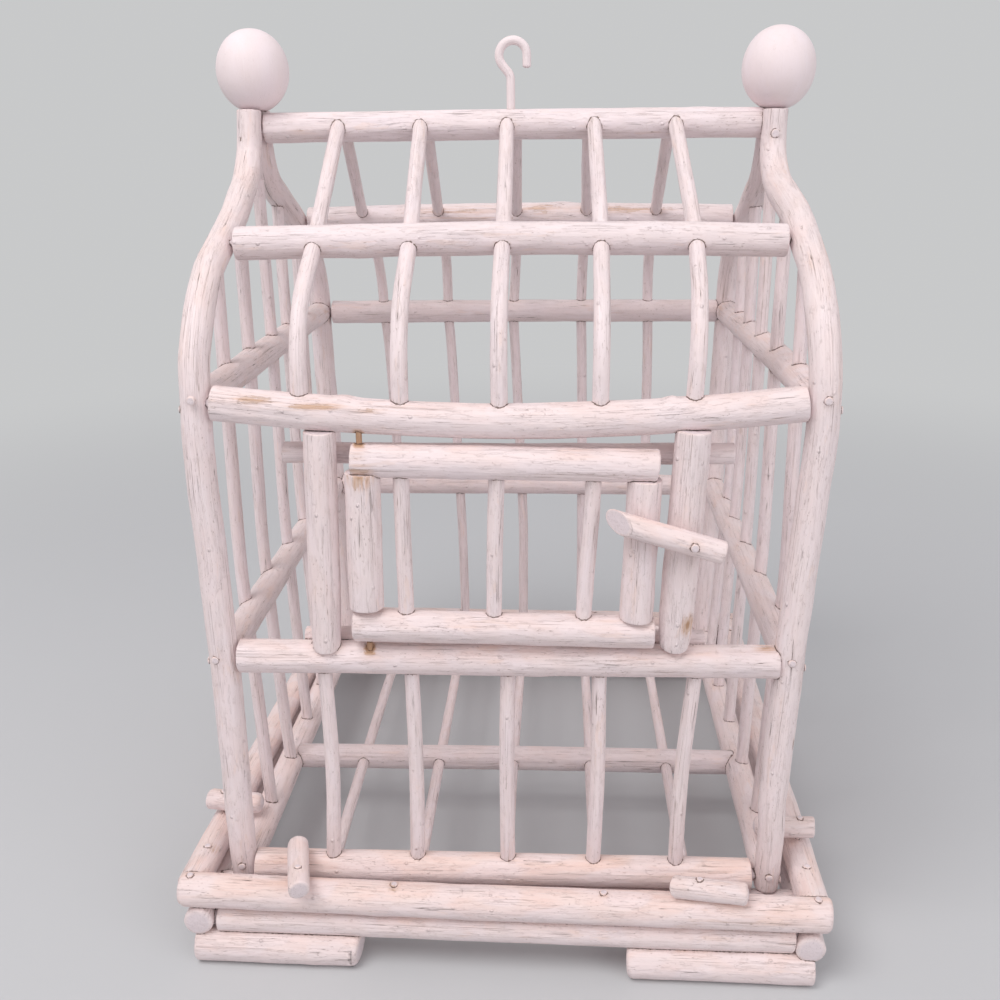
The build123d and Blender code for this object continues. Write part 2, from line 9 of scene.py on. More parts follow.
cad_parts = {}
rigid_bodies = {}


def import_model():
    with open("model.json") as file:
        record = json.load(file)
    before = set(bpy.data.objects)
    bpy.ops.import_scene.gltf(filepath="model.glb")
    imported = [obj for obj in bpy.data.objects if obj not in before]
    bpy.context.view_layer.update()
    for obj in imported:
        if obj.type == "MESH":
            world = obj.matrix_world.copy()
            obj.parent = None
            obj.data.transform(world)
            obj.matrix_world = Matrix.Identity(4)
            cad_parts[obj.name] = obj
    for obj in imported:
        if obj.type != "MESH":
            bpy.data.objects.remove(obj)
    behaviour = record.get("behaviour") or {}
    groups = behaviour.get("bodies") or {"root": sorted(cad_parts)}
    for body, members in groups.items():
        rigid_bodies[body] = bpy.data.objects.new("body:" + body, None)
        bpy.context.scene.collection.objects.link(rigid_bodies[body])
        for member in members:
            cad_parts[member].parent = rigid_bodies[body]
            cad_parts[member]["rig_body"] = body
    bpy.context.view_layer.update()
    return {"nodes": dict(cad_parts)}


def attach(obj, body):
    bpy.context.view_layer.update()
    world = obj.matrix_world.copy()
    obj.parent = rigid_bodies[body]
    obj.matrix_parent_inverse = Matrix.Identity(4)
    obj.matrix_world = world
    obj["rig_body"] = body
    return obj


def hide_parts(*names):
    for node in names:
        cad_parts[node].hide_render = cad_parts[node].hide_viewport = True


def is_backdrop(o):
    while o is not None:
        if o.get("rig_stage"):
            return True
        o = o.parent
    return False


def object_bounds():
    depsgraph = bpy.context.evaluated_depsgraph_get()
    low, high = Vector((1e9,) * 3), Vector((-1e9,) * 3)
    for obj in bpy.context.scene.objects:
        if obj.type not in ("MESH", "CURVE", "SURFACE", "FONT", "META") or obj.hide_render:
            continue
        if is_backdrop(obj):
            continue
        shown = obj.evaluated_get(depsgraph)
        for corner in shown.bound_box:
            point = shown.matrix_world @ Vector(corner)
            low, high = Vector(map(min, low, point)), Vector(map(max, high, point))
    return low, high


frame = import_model()

# Every size below is in millimetres in the row frame, and MM brings it to
# metres where a mesh is made.
MM = 0.001
CAGE_Z = 40.7  # the bottom rails' axis over the ground
TURN = math.radians(-1.2)  # the base ring stands turned under the cage
TAU = 2 * math.pi

POST_R = 7.9
POST_LOW, POST_HIGH = 144.0, 150.0
WALL_Y = 150.0
SHOULDER_Y, SHOULDER_H = 91.0, 332.5
RIDGE_H = 390.0
MID_H, MID_SAG = 262.4, 7.0
LOWER_H = 128.3
SPREAD_H = 250.0
NECK_X, NECK_Y = 148.5, 8.0
RIM_Y, SIDE_LOG_X = 177.0, 165.0
FOOT_Z, LOG_Z, RIM_Z, SIDE_RIM_Z, BUTTON_Z = 8.5, 24.9, 41.0, 40.4, 56.3
PITCH = 48.5


def at(x, y, h):
    return np.array([x, y, CAGE_Z + h], float)


def on_base(x, y, z):
    c, s = math.cos(TURN), math.sin(TURN)
    return np.array([x * c - y * s, x * s + y * c, z], float)


def post_x(h):
    return POST_LOW + (POST_HIGH - POST_LOW) * max(0.0, min(h / SPREAD_H, 1.0))


# ---------------------------------------------------------------- centrelines
def rounded(points, bends):
    """The polyline with each inner corner turned into an arc of its radius."""
    pts = [np.array(p, float) for p in points]
    out = [pts[0]]
    for before, corner, after, bend in zip(pts, pts[1:], pts[2:], bends):
        u = (before - corner) / np.linalg.norm(before - corner)
        v = (after - corner) / np.linalg.norm(after - corner)
        inner = math.acos(max(-1.0, min(1.0, float(u @ v))))
        turn = math.pi - inner
        if turn < 0.01:
            out.append(corner)
            continue
        centre = corner + (u + v) / np.linalg.norm(u + v) * bend / math.sin(inner / 2)
        e1 = (corner + u * bend / math.tan(inner / 2) - centre) / bend
        e2 = (corner + v * bend / math.tan(inner / 2) - centre) / bend
        steps = max(4, int(bend * turn / 2.0))
        for k in range(steps + 1):
            f = k / steps
            d = (math.sin((1 - f) * turn) * e1 + math.sin(f * turn) * e2) / math.sin(turn)
            out.append(centre + bend * d)
    out.append(pts[-1])
    return np.array(out)


def curve_through(points, samples=60):
    """A smooth line through a few points (Catmull-Rom), for bowed sticks."""
    p = np.array(points, float)
    p = np.vstack([2 * p[0] - p[1], p, 2 * p[-1] - p[-2]])
    out = []
    for i in range(1, len(p) - 2):
        t = np.linspace(0, 1, samples, endpoint=i == len(p) - 3)[:, None]
        a, b, c, d = p[i - 1], p[i], p[i + 1], p[i + 2]
        out.append(
            0.5 * (2 * b + (c - a) * t + (2 * a - 5 * b + 4 * c - d) * t**2
                   + (3 * b - a - 3 * c + d) * t**3)
        )
    return np.vstack(out)


def resample(path, step):
    lengths = np.linalg.norm(np.diff(path, axis=0), axis=1)
    s = np.concatenate([[0], np.cumsum(lengths)])
    n = max(6, int(round(s[-1] / step)))
    at_s = np.linspace(0, s[-1], n + 1)
    return np.column_stack([np.interp(at_s, s, path[:, i]) for i in range(3)]), at_s


def smooth_noise(rng, theta, s, turns, waves, terms):
    """Smooth random lumps over a stick: theta round it, s along it in mm."""
    total = np.zeros(np.broadcast(theta, s).shape)
    for _ in range(terms):
        k = int(rng.integers(turns[0], turns[1] + 1))
        w = TAU / rng.uniform(*waves)
        total += np.cos(k * theta + rng.choice([-1, 1]) * w * s + rng.uniform(0, TAU))
    return total / math.sqrt(terms)


STICKS = []  # every stick, kept until all are known, for the joints' marks


def stick(node, path, radius, seed, around=44, step=2.6, taper=(1.0, 1.0), bow=0.0,
          rough=0.024, facets=3, edge=(1.0, 1.0), lean=((0, 0), (0, 0)), dome=(0, 0),
          knots=2, grain=1.0, flat_z=None, tenon=(0, 0), pin_share=0.35, warm=0.35,
          paint="stick", bumps=()):
    """Adds one peeled stick along path. taper is its thickness at even steps,
    edge rounds its two cut ends, lean slants a cut, dome bulges it, tenon goes
    on thinner into a post, knots are low swellings, and warm says how much
    peach goes on its upper side, partly the undercoat showing and partly
    painted warm light from above. bumps are single humps: how far along, at
    what angle round it, how high and how wide."""
    rng = np.random.default_rng(seed)
    points, s = resample(np.array(path, float), step)
    total = s[-1]
    tangents = np.gradient(points, axis=0)
    tangents /= np.linalg.norm(tangents, axis=1)[:, None]
    start = np.array([0.0, -1.0, 0.3]) if abs(tangents[0][2]) > 0.6 else np.array([0.0, 0, 1])
    side = start - (start @ tangents[0]) * tangents[0]
    side /= np.linalg.norm(side)
    sides = [side]
    for t in tangents[1:]:
        side = sides[-1] - (sides[-1] @ t) * t
        sides.append(side / np.linalg.norm(side))
    sides = np.array(sides)
    others = np.cross(tangents, sides)
    if bow:
        u = s / total
        a, b = rng.uniform(0.5, 1.0), rng.uniform(-0.7, 0.7)
        turn = rng.uniform(0, TAU)
        swing = bow * (a * np.sin(np.pi * u) + b * np.sin(TAU * u))
        points = points + swing[:, None] * (
            math.cos(turn) * sides + math.sin(turn) * others
        )
    theta = np.linspace(0, TAU, around, endpoint=False)[None, :]
    along = s[:, None]
    size = radius * np.interp(s, np.linspace(0, total, len(taper)), taper)[:, None]
    ovality = rng.uniform(0.008, 0.02)
    shape = 1 + ovality * np.cos(2 * (theta - rng.uniform(0, TAU)))
    shape = shape + rough * 0.55 * smooth_noise(rng, theta, along, (0, 2), (38, 160), 7)
    shape = shape + rough * 0.30 * smooth_noise(rng, theta, along, (2, 5), (12, 60), 9)
    for _ in range(facets):
        flat, turn = rng.uniform(0.955, 0.985), rng.uniform(0, TAU)
        drift = rng.uniform(-0.6, 0.6)
        gap = np.cos(theta - turn - drift * along / max(total, 1) * 2)
        plane = flat + 0.012 * smooth_noise(rng, 0.0 * theta, along, (0, 0), (30, 120), 3)
        shape = np.where(gap > 0.5, np.minimum(shape, plane / np.maximum(gap, 0.5)), shape)
    for _ in range(knots):
        where, turn = rng.uniform(0.08, 0.92) * total, rng.uniform(0, TAU)
        wide = rng.uniform(2.5, 5.0)
        near = ((along - where) / wide) ** 2 + ((np.cos(theta - turn) - 1) * 2.6) ** 2
        shape = shape + rng.uniform(0.02, 0.055) * np.exp(-near)
    shape = np.minimum(shape, 1.035)
    for where, turn, high, wide in bumps:
        near = ((along - where) / wide) ** 2 + ((np.cos(theta - turn) - 1) * 5.0) ** 2
        shape = shape + high / radius * np.exp(-near)
    fine = 0.05 * smooth_noise(rng, theta, along, (7, 16), (20, 140), 12)
    ring_r = size * shape + fine * grain
    cx, cy = ring_r * np.cos(theta), ring_r * np.sin(theta)
    wall = points[:, None, :] + cx[..., None] * sides[:, None, :] + cy[..., None] * others[:, None, :]

    # the ends: rounded edge rings, then rings towards the middle of the cut
    rows, lx, ly, lz, cap = [], [], [], [], []

    def add(row, x, y, z, is_cap):
        rows.append(row)
        lx.append(x)
        ly.append(y)
        lz.append(z)
        cap.append(np.full(around, is_cap))

    def end_rows(i, sign, round_by, slant, bulge, pin):
        base, t = points[i], tangents[i]
        out = []
        push = max(bulge, 0.0)
        for share, into in [(1.0, 1.0), (0.62, 0.93), (0.3, 0.72), (0.1, 0.4)]:
            inset = round_by * (1 - math.sqrt(max(0.0, 1 - (1 - share) ** 2)))
            out.append((1 - inset / radius, sign * -round_by * share, 0.0, into))
        steps = ((0.8, 0), (pin_share, 0), (pin_share * 0.98, 1), (pin_share * 0.6, 1), (0.04, 1)) if pin else (
            (0.86, 0), (0.66, 0), (0.44, 0), (0.22, 0), (0.04, 0))
        for share, on_pin in steps:
            grow = push * (1 - share**2) + pin * on_pin
            out.append(((1 - round_by / radius) * share, sign * grow, 1.0, 0.0))
        made = []
        for k, shift, is_cap, _ in out:
            x, y = cx[i] * k, cy[i] * k
            tilt = x * slant[0] + y * slant[1]
            z = shift + sign * (tilt - math.hypot(*slant) * radius)
            if is_cap:
                z = z + 0.09 * smooth_noise(rng, theta[0] * 0 + x, y, (1, 3), (3, 9), 4)
            row = base + x[:, None] * sides[i] + y[:, None] * others[i] + z[:, None] * t \
                if isinstance(z, np.ndarray) else \
                base + x[:, None] * sides[i] + y[:, None] * others[i] + z * t
            made.append((row, x, y, np.full(around, s[i]) + z, is_cap))
        return made

    def slid(i, sign, slant):
        """A wall ring near a slanted end, leaning by its nearness to the end."""
        reach = 2.2 * radius * max(math.hypot(*slant), 1e-6) + 1e-6
        gap = s[i] if sign < 0 else total - s[i]
        hold = max(0.0, 1 - gap / reach) if math.hypot(*slant) else 0.0
        tilt = (cx[i] * slant[0] + cy[i] * slant[1] - math.hypot(*slant) * radius) * sign * hold
        return tilt

    keep = [i for i in range(len(s)) if s[i] > edge[0] * 1.3 and total - s[i] > edge[1] * 1.3]
    for row in reversed(end_rows(0, -1, edge[0], lean[0], dome[0], tenon[0])):
        add(*row)
    for i in keep:
        tilt = slid(i, -1, lean[0]) + slid(i, 1, lean[1])
        add(wall[i] + tilt[:, None] * tangents[i], cx[i], cy[i], np.full(around, s[i]) + tilt, 0.0)
    for row in end_rows(len(s) - 1, 1, edge[1], lean[1], dome[1], tenon[1]):
        add(*row)
    co = np.array(rows).reshape(-1, 3)
    if flat_z is not None:
        co[:, 2] = np.maximum(co[:, 2], flat_z)
    rings = len(rows)
    index = np.arange(rings * around).reshape(rings, around)
    right = np.roll(index, -1, axis=1)
    quads = np.stack([index[:-1], right[:-1], right[1:], index[1:]], axis=-1).reshape(-1, 4)
    local = np.column_stack([np.ravel(lx), np.ravel(ly), np.ravel(lz)])
    STICKS.append({
        "node": node, "co": co, "quads": quads,
        "tips": [index[0][::-1].tolist(), index[-1].tolist()],
        "local": local, "cap": np.ravel(cap), "radius": radius,
        "line": resample(points, 1.2)[0], "shift": rng.uniform(-900, 900, 3),
        "uv": np.column_stack([np.tile(theta[0] / TAU, rings), np.ravel(lz) / 60.0]),
        "tone": rng.uniform(0, 1), "warm": warm, "paint": paint,
        "patch": 0.5 + 0.5 * smooth_noise(rng, np.tile(theta[0], rings), np.ravel(lz), (1, 3),
                                          (14, 90), 9),
    })


# ------------------------------------------------------------- the cage's body
front_x = {"bottom": [-96.2, -49.4, 0.4, 46.9, 91.4], "top": [-94.2, -48.7, 1.3, 48.3, 97.4]}
rod_i = [-2, -1, 0, 1, 2]
PIN = 6.0  # how far a rail's thinned end goes on into its post

# How far each front post strays sideways from its plain line, by height
STRAY = {
    -1: ((-8, -2.0), (12, -2.5), (31, -2.0), (55, -1.2), (72, -0.6), (99, 0), (120, 0.5), (137, 0.3),
         (170, 0.6), (190, 0.8), (208, 0.5), (218, 0.25), (249, 1.5), (271, 2.5), (283, 2.3),
         (294, 2.7), (309, 2.5), (321, 1.3), (334, 2.9), (345, 1.7), (354, -1.0), (365, -2.8),
         (377, -2.5), (391, -2.3), (398, -2.0)),
    1: ((-5, -2.6), (9, -2.8), (28, -2.9), (47, -4.1), (59, -3.6), (77, -3.7), (95, -3.3),
        (112, -2.9), (141, -3.1), (162, -2.0), (173, -1.9), (192, -0.8), (210, -0.2), (220, -0.1),
        (235, 0.8), (250, 1.1), (271, 0.85), (282, 0.6), (293, 0.2), (308, 0), (320, 0.7),
        (332, 0), (344, 0.4), (355, -2.05), (373, -2.4), (380, -2.2), (395, -1.9)),
}
# The left front post's own run over the shoulder: height, y
LEFT_RUN = ((218, -150), (249, -148.5), (270, -145), (282, -142.7), (293, -136), (308, -123.6),
            (321, -108), (333.5, -78.7), (344.7, -54.7), (354, -40), (365, -25.3), (377, -14.8),
            (391, -11), (398, -8.8))
POST_TOP = {-1: 399.6, 1: 396.9}
POST_SHARES = {-1: (0.90, 0.95, 0.97, 0.96, 0.95, 0.95, 0.93, 0.88, 0.87),
               1: (0.84, 0.92, 0.98, 0.98, 1.0, 1.04, 0.96, 0.90, 0.89)}


def stray(side, h):
    return np.interp(h, *zip(*STRAY[side]))


def post_path(side, end):
    path = rounded(
        [
            at(side * POST_LOW, end * WALL_Y, -8.5),
            at(side * POST_HIGH, end * WALL_Y, SPREAD_H),
            at(side * POST_HIGH, end * WALL_Y, 296.0),
            at(side * POST_HIGH, end * SHOULDER_Y, SHOULDER_H),
            at(side * NECK_X, end * NECK_Y, 365.0),
            at(side * NECK_X, end * NECK_Y, POST_TOP[side]),
        ],
        [100.0, 60.0, 250.0, 32.0],
    )
    path, _ = resample(path, 2.0)
    h = path[:, 2] - CAGE_Z
    if end < 0:
        share = 0.5 * np.clip((h - 218) / 25, 0, 1) if side < 0 else 0.0 * h
        path[:, 0] += stray(side, h) * (1 - share)
        path[:, 1] += share * (np.interp(h, *zip(*LEFT_RUN)) - path[:, 1])
    elif side > 0:
        path[:, 0] += np.interp(h, (340, 365, 398), (0, -1.5, -1.9))
    return path


seed = 10
for end_name, end in (("front", -1), ("rear", 1)):
    for side_name, side in (("left", -1), ("right", 1)):
        seed += 1
        thin = np.interp(np.linspace(0, 1, 41), (0, 0.1, 0.3, 0.6, 0.8, 0.87, 0.93, 0.97, 1),
                         POST_SHARES[side])
        stick(f"post_{end_name}_{side_name}", post_path(side, end), POST_R, seed, around=52,
              taper=thin, facets=4, edge=(2.6 if side > 0 else 1.8, 0.6), knots=5, warm=0.45)

# Rails along X: node, y, height, radius, bow, visible ends, rise at mid-length, warmth
rails_x = [
    ("bottom_rail_front", -WALL_Y, 0.0, 8.5, 0.3, -139.4, 132.3, 0.0, 1.0),
    ("bottom_rail_rear", WALL_Y, 0.0, 8.5, 0.8, -137.5, 137.5, 0.0, 0.8),
    ("lower_rail_front", -WALL_Y, LOWER_H, 8.7, 0.3, -138.2, 138.6, 0.0, 0.5),
    ("lower_rail_rear", WALL_Y, LOWER_H, 7.8, 0.8, -140.0, 140.0, 0.0, 0.5),
    ("mid_rail_front", -WALL_Y, MID_H, 8.6, 0.0, -140.0, 142.9, -8.7, 0.45),
    ("mid_rail_rear", WALL_Y, MID_H, 8.1, 0.8, -140.5, 143.0, 0.0, 0.35),
    ("shoulder_rail_front", -SHOULDER_Y, SHOULDER_H, 8.4, 0.2, -139.0, 140.3, 1.7, 0.2),
    ("shoulder_rail_rear", SHOULDER_Y, SHOULDER_H, 8.4, 0.3, -141.0, 141.0, 1.8, 0.2),
    ("ridge_pole", 0.0, RIDGE_H, 8.45, 0.0, -142.6, 141.7, 0.4, 0.15),
]
RAIL_BUMPS = {
    "mid_rail_front": ((220.2, 0.1, 1.1, 2.4), (64, 0.0, 1.0, 5.0), (50, 0.5, 0.8, 7.0),
                       (225.5, 0.5, 0.7, 4.0), (38, 0.9, 0.5, 9.0)),
    "lower_rail_front": ((120, 0.6, 0.5, 8.0), (44, 1.2, 0.8, 7.0), (196, 1.0, 0.5, 6.0)),
    "shoulder_rail_front": ((60, 2.4, 0.5, 7.0), (212, 0.4, 0.5, 5.0)),
    "shoulder_rail_rear": ((70, 0.3, 0.7, 6.0), (168, 0.2, 0.6, 7.0)),
}
for k, (node, y, h, r, bow, x0, x1, rise, warm) in enumerate(rails_x):
    path = curve_through([at(x0, y, h), at(x0 * 0.54, y, h + 0.64 * rise), at(0, y, h + rise),
                          at(x1 * 0.54, y, h + 0.68 * rise), at(x1, y, h)])
    shape = {"mid_rail_front": (4, 0.03, 4), "ridge_pole": (3, 0.018, 5)}.get(node, (3, 0.024, 3))
    stick(node, path, r, 30 + k, around=52, taper=(1.01, 0.99), bow=bow, knots=shape[0],
          rough=shape[1], facets=shape[2], edge=(0.8, 0.8), tenon=(PIN, PIN), warm=warm,
          pin_share=0.22 if "shoulder" in node else 0.35, bumps=RAIL_BUMPS.get(node, ()))
stick("floor_cross_rail", [at(-141, -38, 0), at(141, -38, 0)], 7.7, 42, bow=0.8)

# Side rails: level, height, radius
for k, (level, h, r) in enumerate((("bottom", 0.0, 8.0), ("lower", LOWER_H, 7.9), ("mid", MID_H, 8.0))):
    for side_name, side in (("left", -1), ("right", 1)):
        x = side * post_x(h)
        front = x + stray(side, h) * 0.9
        stick(f"{level}_rail_{side_name}", [at(front, -148, h), at(x, 148, h)], r,
              50 + 2 * k + (side > 0), bow=0.8, knots=5 if level == "lower" else 2,
              rough=0.04 if level == "lower" else 0.026, warm=0.5)

# Rods over the roof, the front ones down to the mid rail, the rear ones on down
rod_ridge_x = [-99.2, -52.2, -3.1, 46.2, 91.6]
rod_shoulder_x = [-98.0, -49.2, -1.9, 47.6, 95.2]
rod_wall_x = [-97.6, -49.2, -1.7, 46.6, 92.2]
rod_end_x = [-97.6, -49.2, -1.7, 46.4, 90.2]
for i in rod_i:
    x0, x1, x2, x3 = (row[i + 2] for row in (rod_ridge_x, rod_shoulder_x, rod_wall_x, rod_end_x))
    path = rounded(
        [at(x0, -4.2, RIDGE_H + 1.2), at(x1, -SHOULDER_Y, SHOULDER_H + 1.2),
         at(x2, -WALL_Y, 301.0), at(x3, -WALL_Y, 258.5)], [300.0, 50.0])
    stick("roof_rods", path, 4.1, 60 + i, around=32, step=2.2, bow=0.3, facets=3, edge=(1.6, 1.0),
          dome=(0.8, 0), warm=0.25)
rear_top_x = [-97.2, -49.6, 1.6, 43.3, 89.3]
rear_shoulder_x = [-103.8, -52.9, -1.2, 45.5, 90.6]
rear_wall_x = {262.0: [-101.5, -54.2, -6.2, 44.2, 92.6], 226.0: [-98.8, -52.0, -4.5, 45.3, 93.6],
               107.0: [-95.0, -47.8, 0.6, 46.8, 94.4], 48.0: [-94.0, -46.7, 0.8, 47.0, 94.5],
               3.0: [-93.5, -46.7, 0.4, 47.2, 94.5]}
for i in rod_i:
    x0, x1 = rear_top_x[i + 2], rear_shoulder_x[i + 2]
    x2 = rear_wall_x[262.0][i + 2]
    upper = rounded(
        [at(x0, 4.2, RIDGE_H - 1.5), at(x1, SHOULDER_Y, SHOULDER_H + 1.0),
         at((x1 + x2) / 2, WALL_Y, 300.0), at(x2, WALL_Y, 262.0)], [300.0, 50.0])
    lower = curve_through([upper[-1]] + [
        at(rear_wall_x[h][i + 2], WALL_Y + (0.6 if h > 10 else 0), h) for h in (226.0, 107.0, 48.0, 3.0)])
    stick("rear_wall_rods", np.vstack([upper[:-1], lower]), 3.55, 70 + i, around=28, step=2.6,
          bow=0.3, facets=3, warm=0.3)

# Front spindles, bowed a little each
front_bow = [1.8, 0.8, -0.6, 0.9, -1.6]
for k in range(5):
    top, low = front_x["top"][k], front_x["bottom"][k]
    stick("front_spindles",
          curve_through([at(low, -WALL_Y, 3.0), at((top + low) / 2 + front_bow[k], -WALL_Y - 0.4, 64.0),
                         at(top, -WALL_Y, LOWER_H - 3.0)]),
          3.9, 80 + k, around=32, step=2.0, taper=(1.04, 0.98), facets=3, warm=0.4)

# Side-wall spindles, up to the posts' curve; each strays a little, by side
low_y = [-98.0, -49.0, 0.0, 49.0, 98.0]
high_y = [-86.0, -43.0, 0.0, 43.0, 86.0]
SPINDLE_STRAY = {-1: ((-1.9, -1.0), (-0.8, 0.0), (0.3, 0.0), (0.0, 0.0), (0.0, 0.0)),
                 1: ((0.8, -4.0), (-0.3, 1.5), (-0.8, 6.5), (-1.0, 8.5), (0.0, 5.0))}


def roof_height(y):
    y = abs(y)
    if y > SHOULDER_Y:
        return SHOULDER_H + (296.0 - SHOULDER_H) * (y - SHOULDER_Y) / (WALL_Y - SHOULDER_Y)
    return 365.0 + (SHOULDER_H - 365.0) * (y - NECK_Y) / (SHOULDER_Y - NECK_Y)


for side_name, side in (("left", -1), ("right", 1)):
    for k in range(5):
        dx, dy = SPINDLE_STRAY[side][k]
        y_high = high_y[k] + dy * 0.7
        top = roof_height(y_high) - 2.0 if k != 2 else 362.0
        path = rounded([at(side * post_x(4), low_y[k] + dy * 0.6, 4.0),
                        at(side * POST_HIGH + dx, (low_y[k] + high_y[k]) / 2 + dy, MID_H * 0.6),
                        at(side * POST_HIGH + dx, y_high, top)], [900.0])
        stick(f"wall_spindles_{side_name}", path, 3.6, 90 + k + (10 if side > 0 else 0), around=28,
              step=2.8, bow=0.9, facets=3, warm=0.35)

for k in range(5):
    x = (k - 2) * PITCH
    stick("floor_bars", [at(x, -145, 0), at(x, 145, 0)], 3.3, 110 + k, around=24, step=3.0, bow=0.8)

# ---------------------------------------------------------------- door and frame
JAMB_BACK = -144.9
stick("door_jamb_left", [at(-91.6, JAMB_BACK - 8.1, 133.4), at(-88.4, JAMB_BACK - 8.1, 249.6)],
      8.1, 120, around=56, step=2.2, facets=7, edge=(1.2, 0.7), knots=1, warm=0.55,
      taper=(0.88, 0.95, 0.99, 1.0, 1.0, 1.0, 1.0, 1.0, 1.0, 1.0, 1.0, 0.97), lean=((0.22, 0), (0, 0)))
stick("door_jamb_right", [at(85.4, JAMB_BACK - 8.7, 136.2), at(90.4, JAMB_BACK - 8.7, 250.6)],
      8.7, 121, around=56, step=2.2, facets=7, edge=(1.2, 1.0), knots=1, warm=0.55,
      taper=(0.80, 0.94, 1.0, 1.0, 1.0, 1.0, 1.0, 1.0, 1.0, 1.0, 1.0, 0.98), lean=((0.2, 0), (0, 0)))
stick("door_stop_upper", [at(-109.7, -140, 235.3), at(112.3, -140, 235.3)], 5.3, 125, around=32,
      bow=0.6, warm=0.4)
stick("door_stop_lower", [at(-105, -140, 135.2), at(102.5, -140, 135.6)], 5.3, 126, around=32,
      bow=0.6, warm=0.4)

DOOR_Y = -154.5
DOOR_TOP, DOOR_LOW = 233.6, 147.0
stick("door_top_rail", [at(-73.2, DOOR_Y, DOOR_TOP + 1.9), at(75, DOOR_Y, DOOR_TOP - 0.6)], 8.0, 130,
      around=52, edge=(1.2, 1.4), lean=((0, 0), (0.10, 0.05)), facets=5, taper=(1.05, 1.0), warm=0.4)
stick("door_bottom_rail", [at(-76.6, DOOR_Y, DOOR_LOW + 1.6), at(75, DOOR_Y, DOOR_LOW - 0.9)], 8.2, 131,
      around=52, edge=(1.4, 1.2), facets=5, taper=(1.03, 1.0), warm=0.5)
stick("door_stile_left", [at(-69.3, DOOR_Y, DOOR_LOW + 11.6), at(-68.2, DOOR_Y, DOOR_TOP - 3.9)], 8.8,
      132, around=54, edge=(0.7, 0.6), facets=6, knots=1, tenon=(5, 4), warm=0.45)
stick("door_stile_right", [at(65.7, DOOR_Y, DOOR_LOW + 6.6), at(68.1, DOOR_Y, DOOR_TOP - 7.0)], 8.5, 133,
      around=54, edge=(0.7, 0.6), facets=6, knots=1, tenon=(5, 4), warm=0.45)
for k, (x_top, x_low) in enumerate(((-49.5, -49.5), (-3.0, -5.3), (43.6, 39.5))):
    stick("door_spindles", [at(x_low, DOOR_Y, DOOR_LOW + 4), at(x_top, DOOR_Y, DOOR_TOP - 4)], 3.9,
          134 + k, around=32, step=2.2, bow=0.5, facets=3, warm=0.4)

# Latch, whittled to a slanting tip that faces forward
LATCH = np.array([90.609, -169.0, CAGE_Z + 198.8])
slope = math.radians(16.5)
latch_way = np.array([-math.cos(slope), 0, math.sin(slope)])
stick("latch", [LATCH - latch_way * 15.5, LATCH + latch_way * 43.5], 5.6, 140, around=48, step=1.5,
      edge=(1.3, 0.5), lean=((0, 0), (0.25, 1.1)), facets=4, knots=1, rough=0.03, warm=0.6)

# ------------------------------------------------------------------ base ring
for end_name, end in (("front", -1), ("rear", 1)):
    for side_name, side in (("left", -1), ("right", 1)):
        inner = 71.0 if side * end > 0 else 68.0
        outer = 165.3 if side > 0 else 164.0
        inner += -1.0 if side > 0 else 2.0
        stick(f"foot_{end_name}_{side_name}",
              [on_base(side * inner, end * 179, FOOT_Z), on_base(side * outer, end * 179, FOOT_Z)],
              9.3, 150 + 2 * (end > 0) + (side > 0), edge=(3.0, 1.6), lean=((0.10, 0.14), (0, 0)),
              around=52, facets=4, flat_z=0.0, warm=0.6)
for k, (side_name, side) in enumerate((("left", -1), ("right", 1))):
    front_x_shift, front_drop = (3.6, 0.0) if side < 0 else (-2.4, 2.6)
    stick(f"base_log_{side_name}",
          [on_base(side * SIDE_LOG_X + front_x_shift, -184, LOG_Z - front_drop),
           on_base(side * SIDE_LOG_X, 184, LOG_Z)],
          7.9, 160 + k, around=52, edge=(1.7, 1.7), dome=(0.5, 0.5), bow=0.4, warm=0.4)
    stick(f"base_rim_{side_name}",
          [on_base(side * SIDE_LOG_X - 1.5 * (side < 0), -174, SIDE_RIM_Z),
           on_base(side * SIDE_LOG_X, 174, SIDE_RIM_Z)],
          8.4, 162 + k, bow=0.6, warm=0.7)
RIM_SAG = {-1: (0.0, -1.9, -1.5), 1: (0.0, 0.0, 0.0)}


def rim_sag(x, end):
    return float(np.interp(x, (-173, 0, 173), RIM_SAG[end]))


for k, (end_name, end) in enumerate((("front", -1), ("rear", 1))):
    drop = 1.5 if end < 0 else 0.0
    stick(f"base_log_{end_name}",
          [on_base(-151.8, end * 176, LOG_Z - drop), on_base(155.2, end * 176, LOG_Z - drop)], 7.5,
          164 + k, around=48, bow=0.5, edge=(0.8, 0.8), tenon=(8, 8), pin_share=0.6, lean=((0, 0), (0.12, 0.1)),
          warm=0.5)
    rim = curve_through([on_base(x, end * RIM_Y, RIM_Z + rim_sag(x, end))
                         for x in (-171.7 if end < 0 else -173.5, -90, 0, 90, 173.5)])
    stick(f"base_rim_{end_name}", rim, 9.0, 166 + k, around=56, edge=(2.8, 3.0),
          lean=((0.05, 0.08), (0.04, -0.06)), bow=0.2, rough=0.026, knots=5, warm=0.85,
          taper=(1.0, 0.99, 1.0, 1.03))
    stick("base_bearers",
          [on_base(-162, end * WALL_Y, LOG_Z), on_base(162, end * WALL_Y, LOG_Z)], 7.0, 168 + k, bow=0.5)

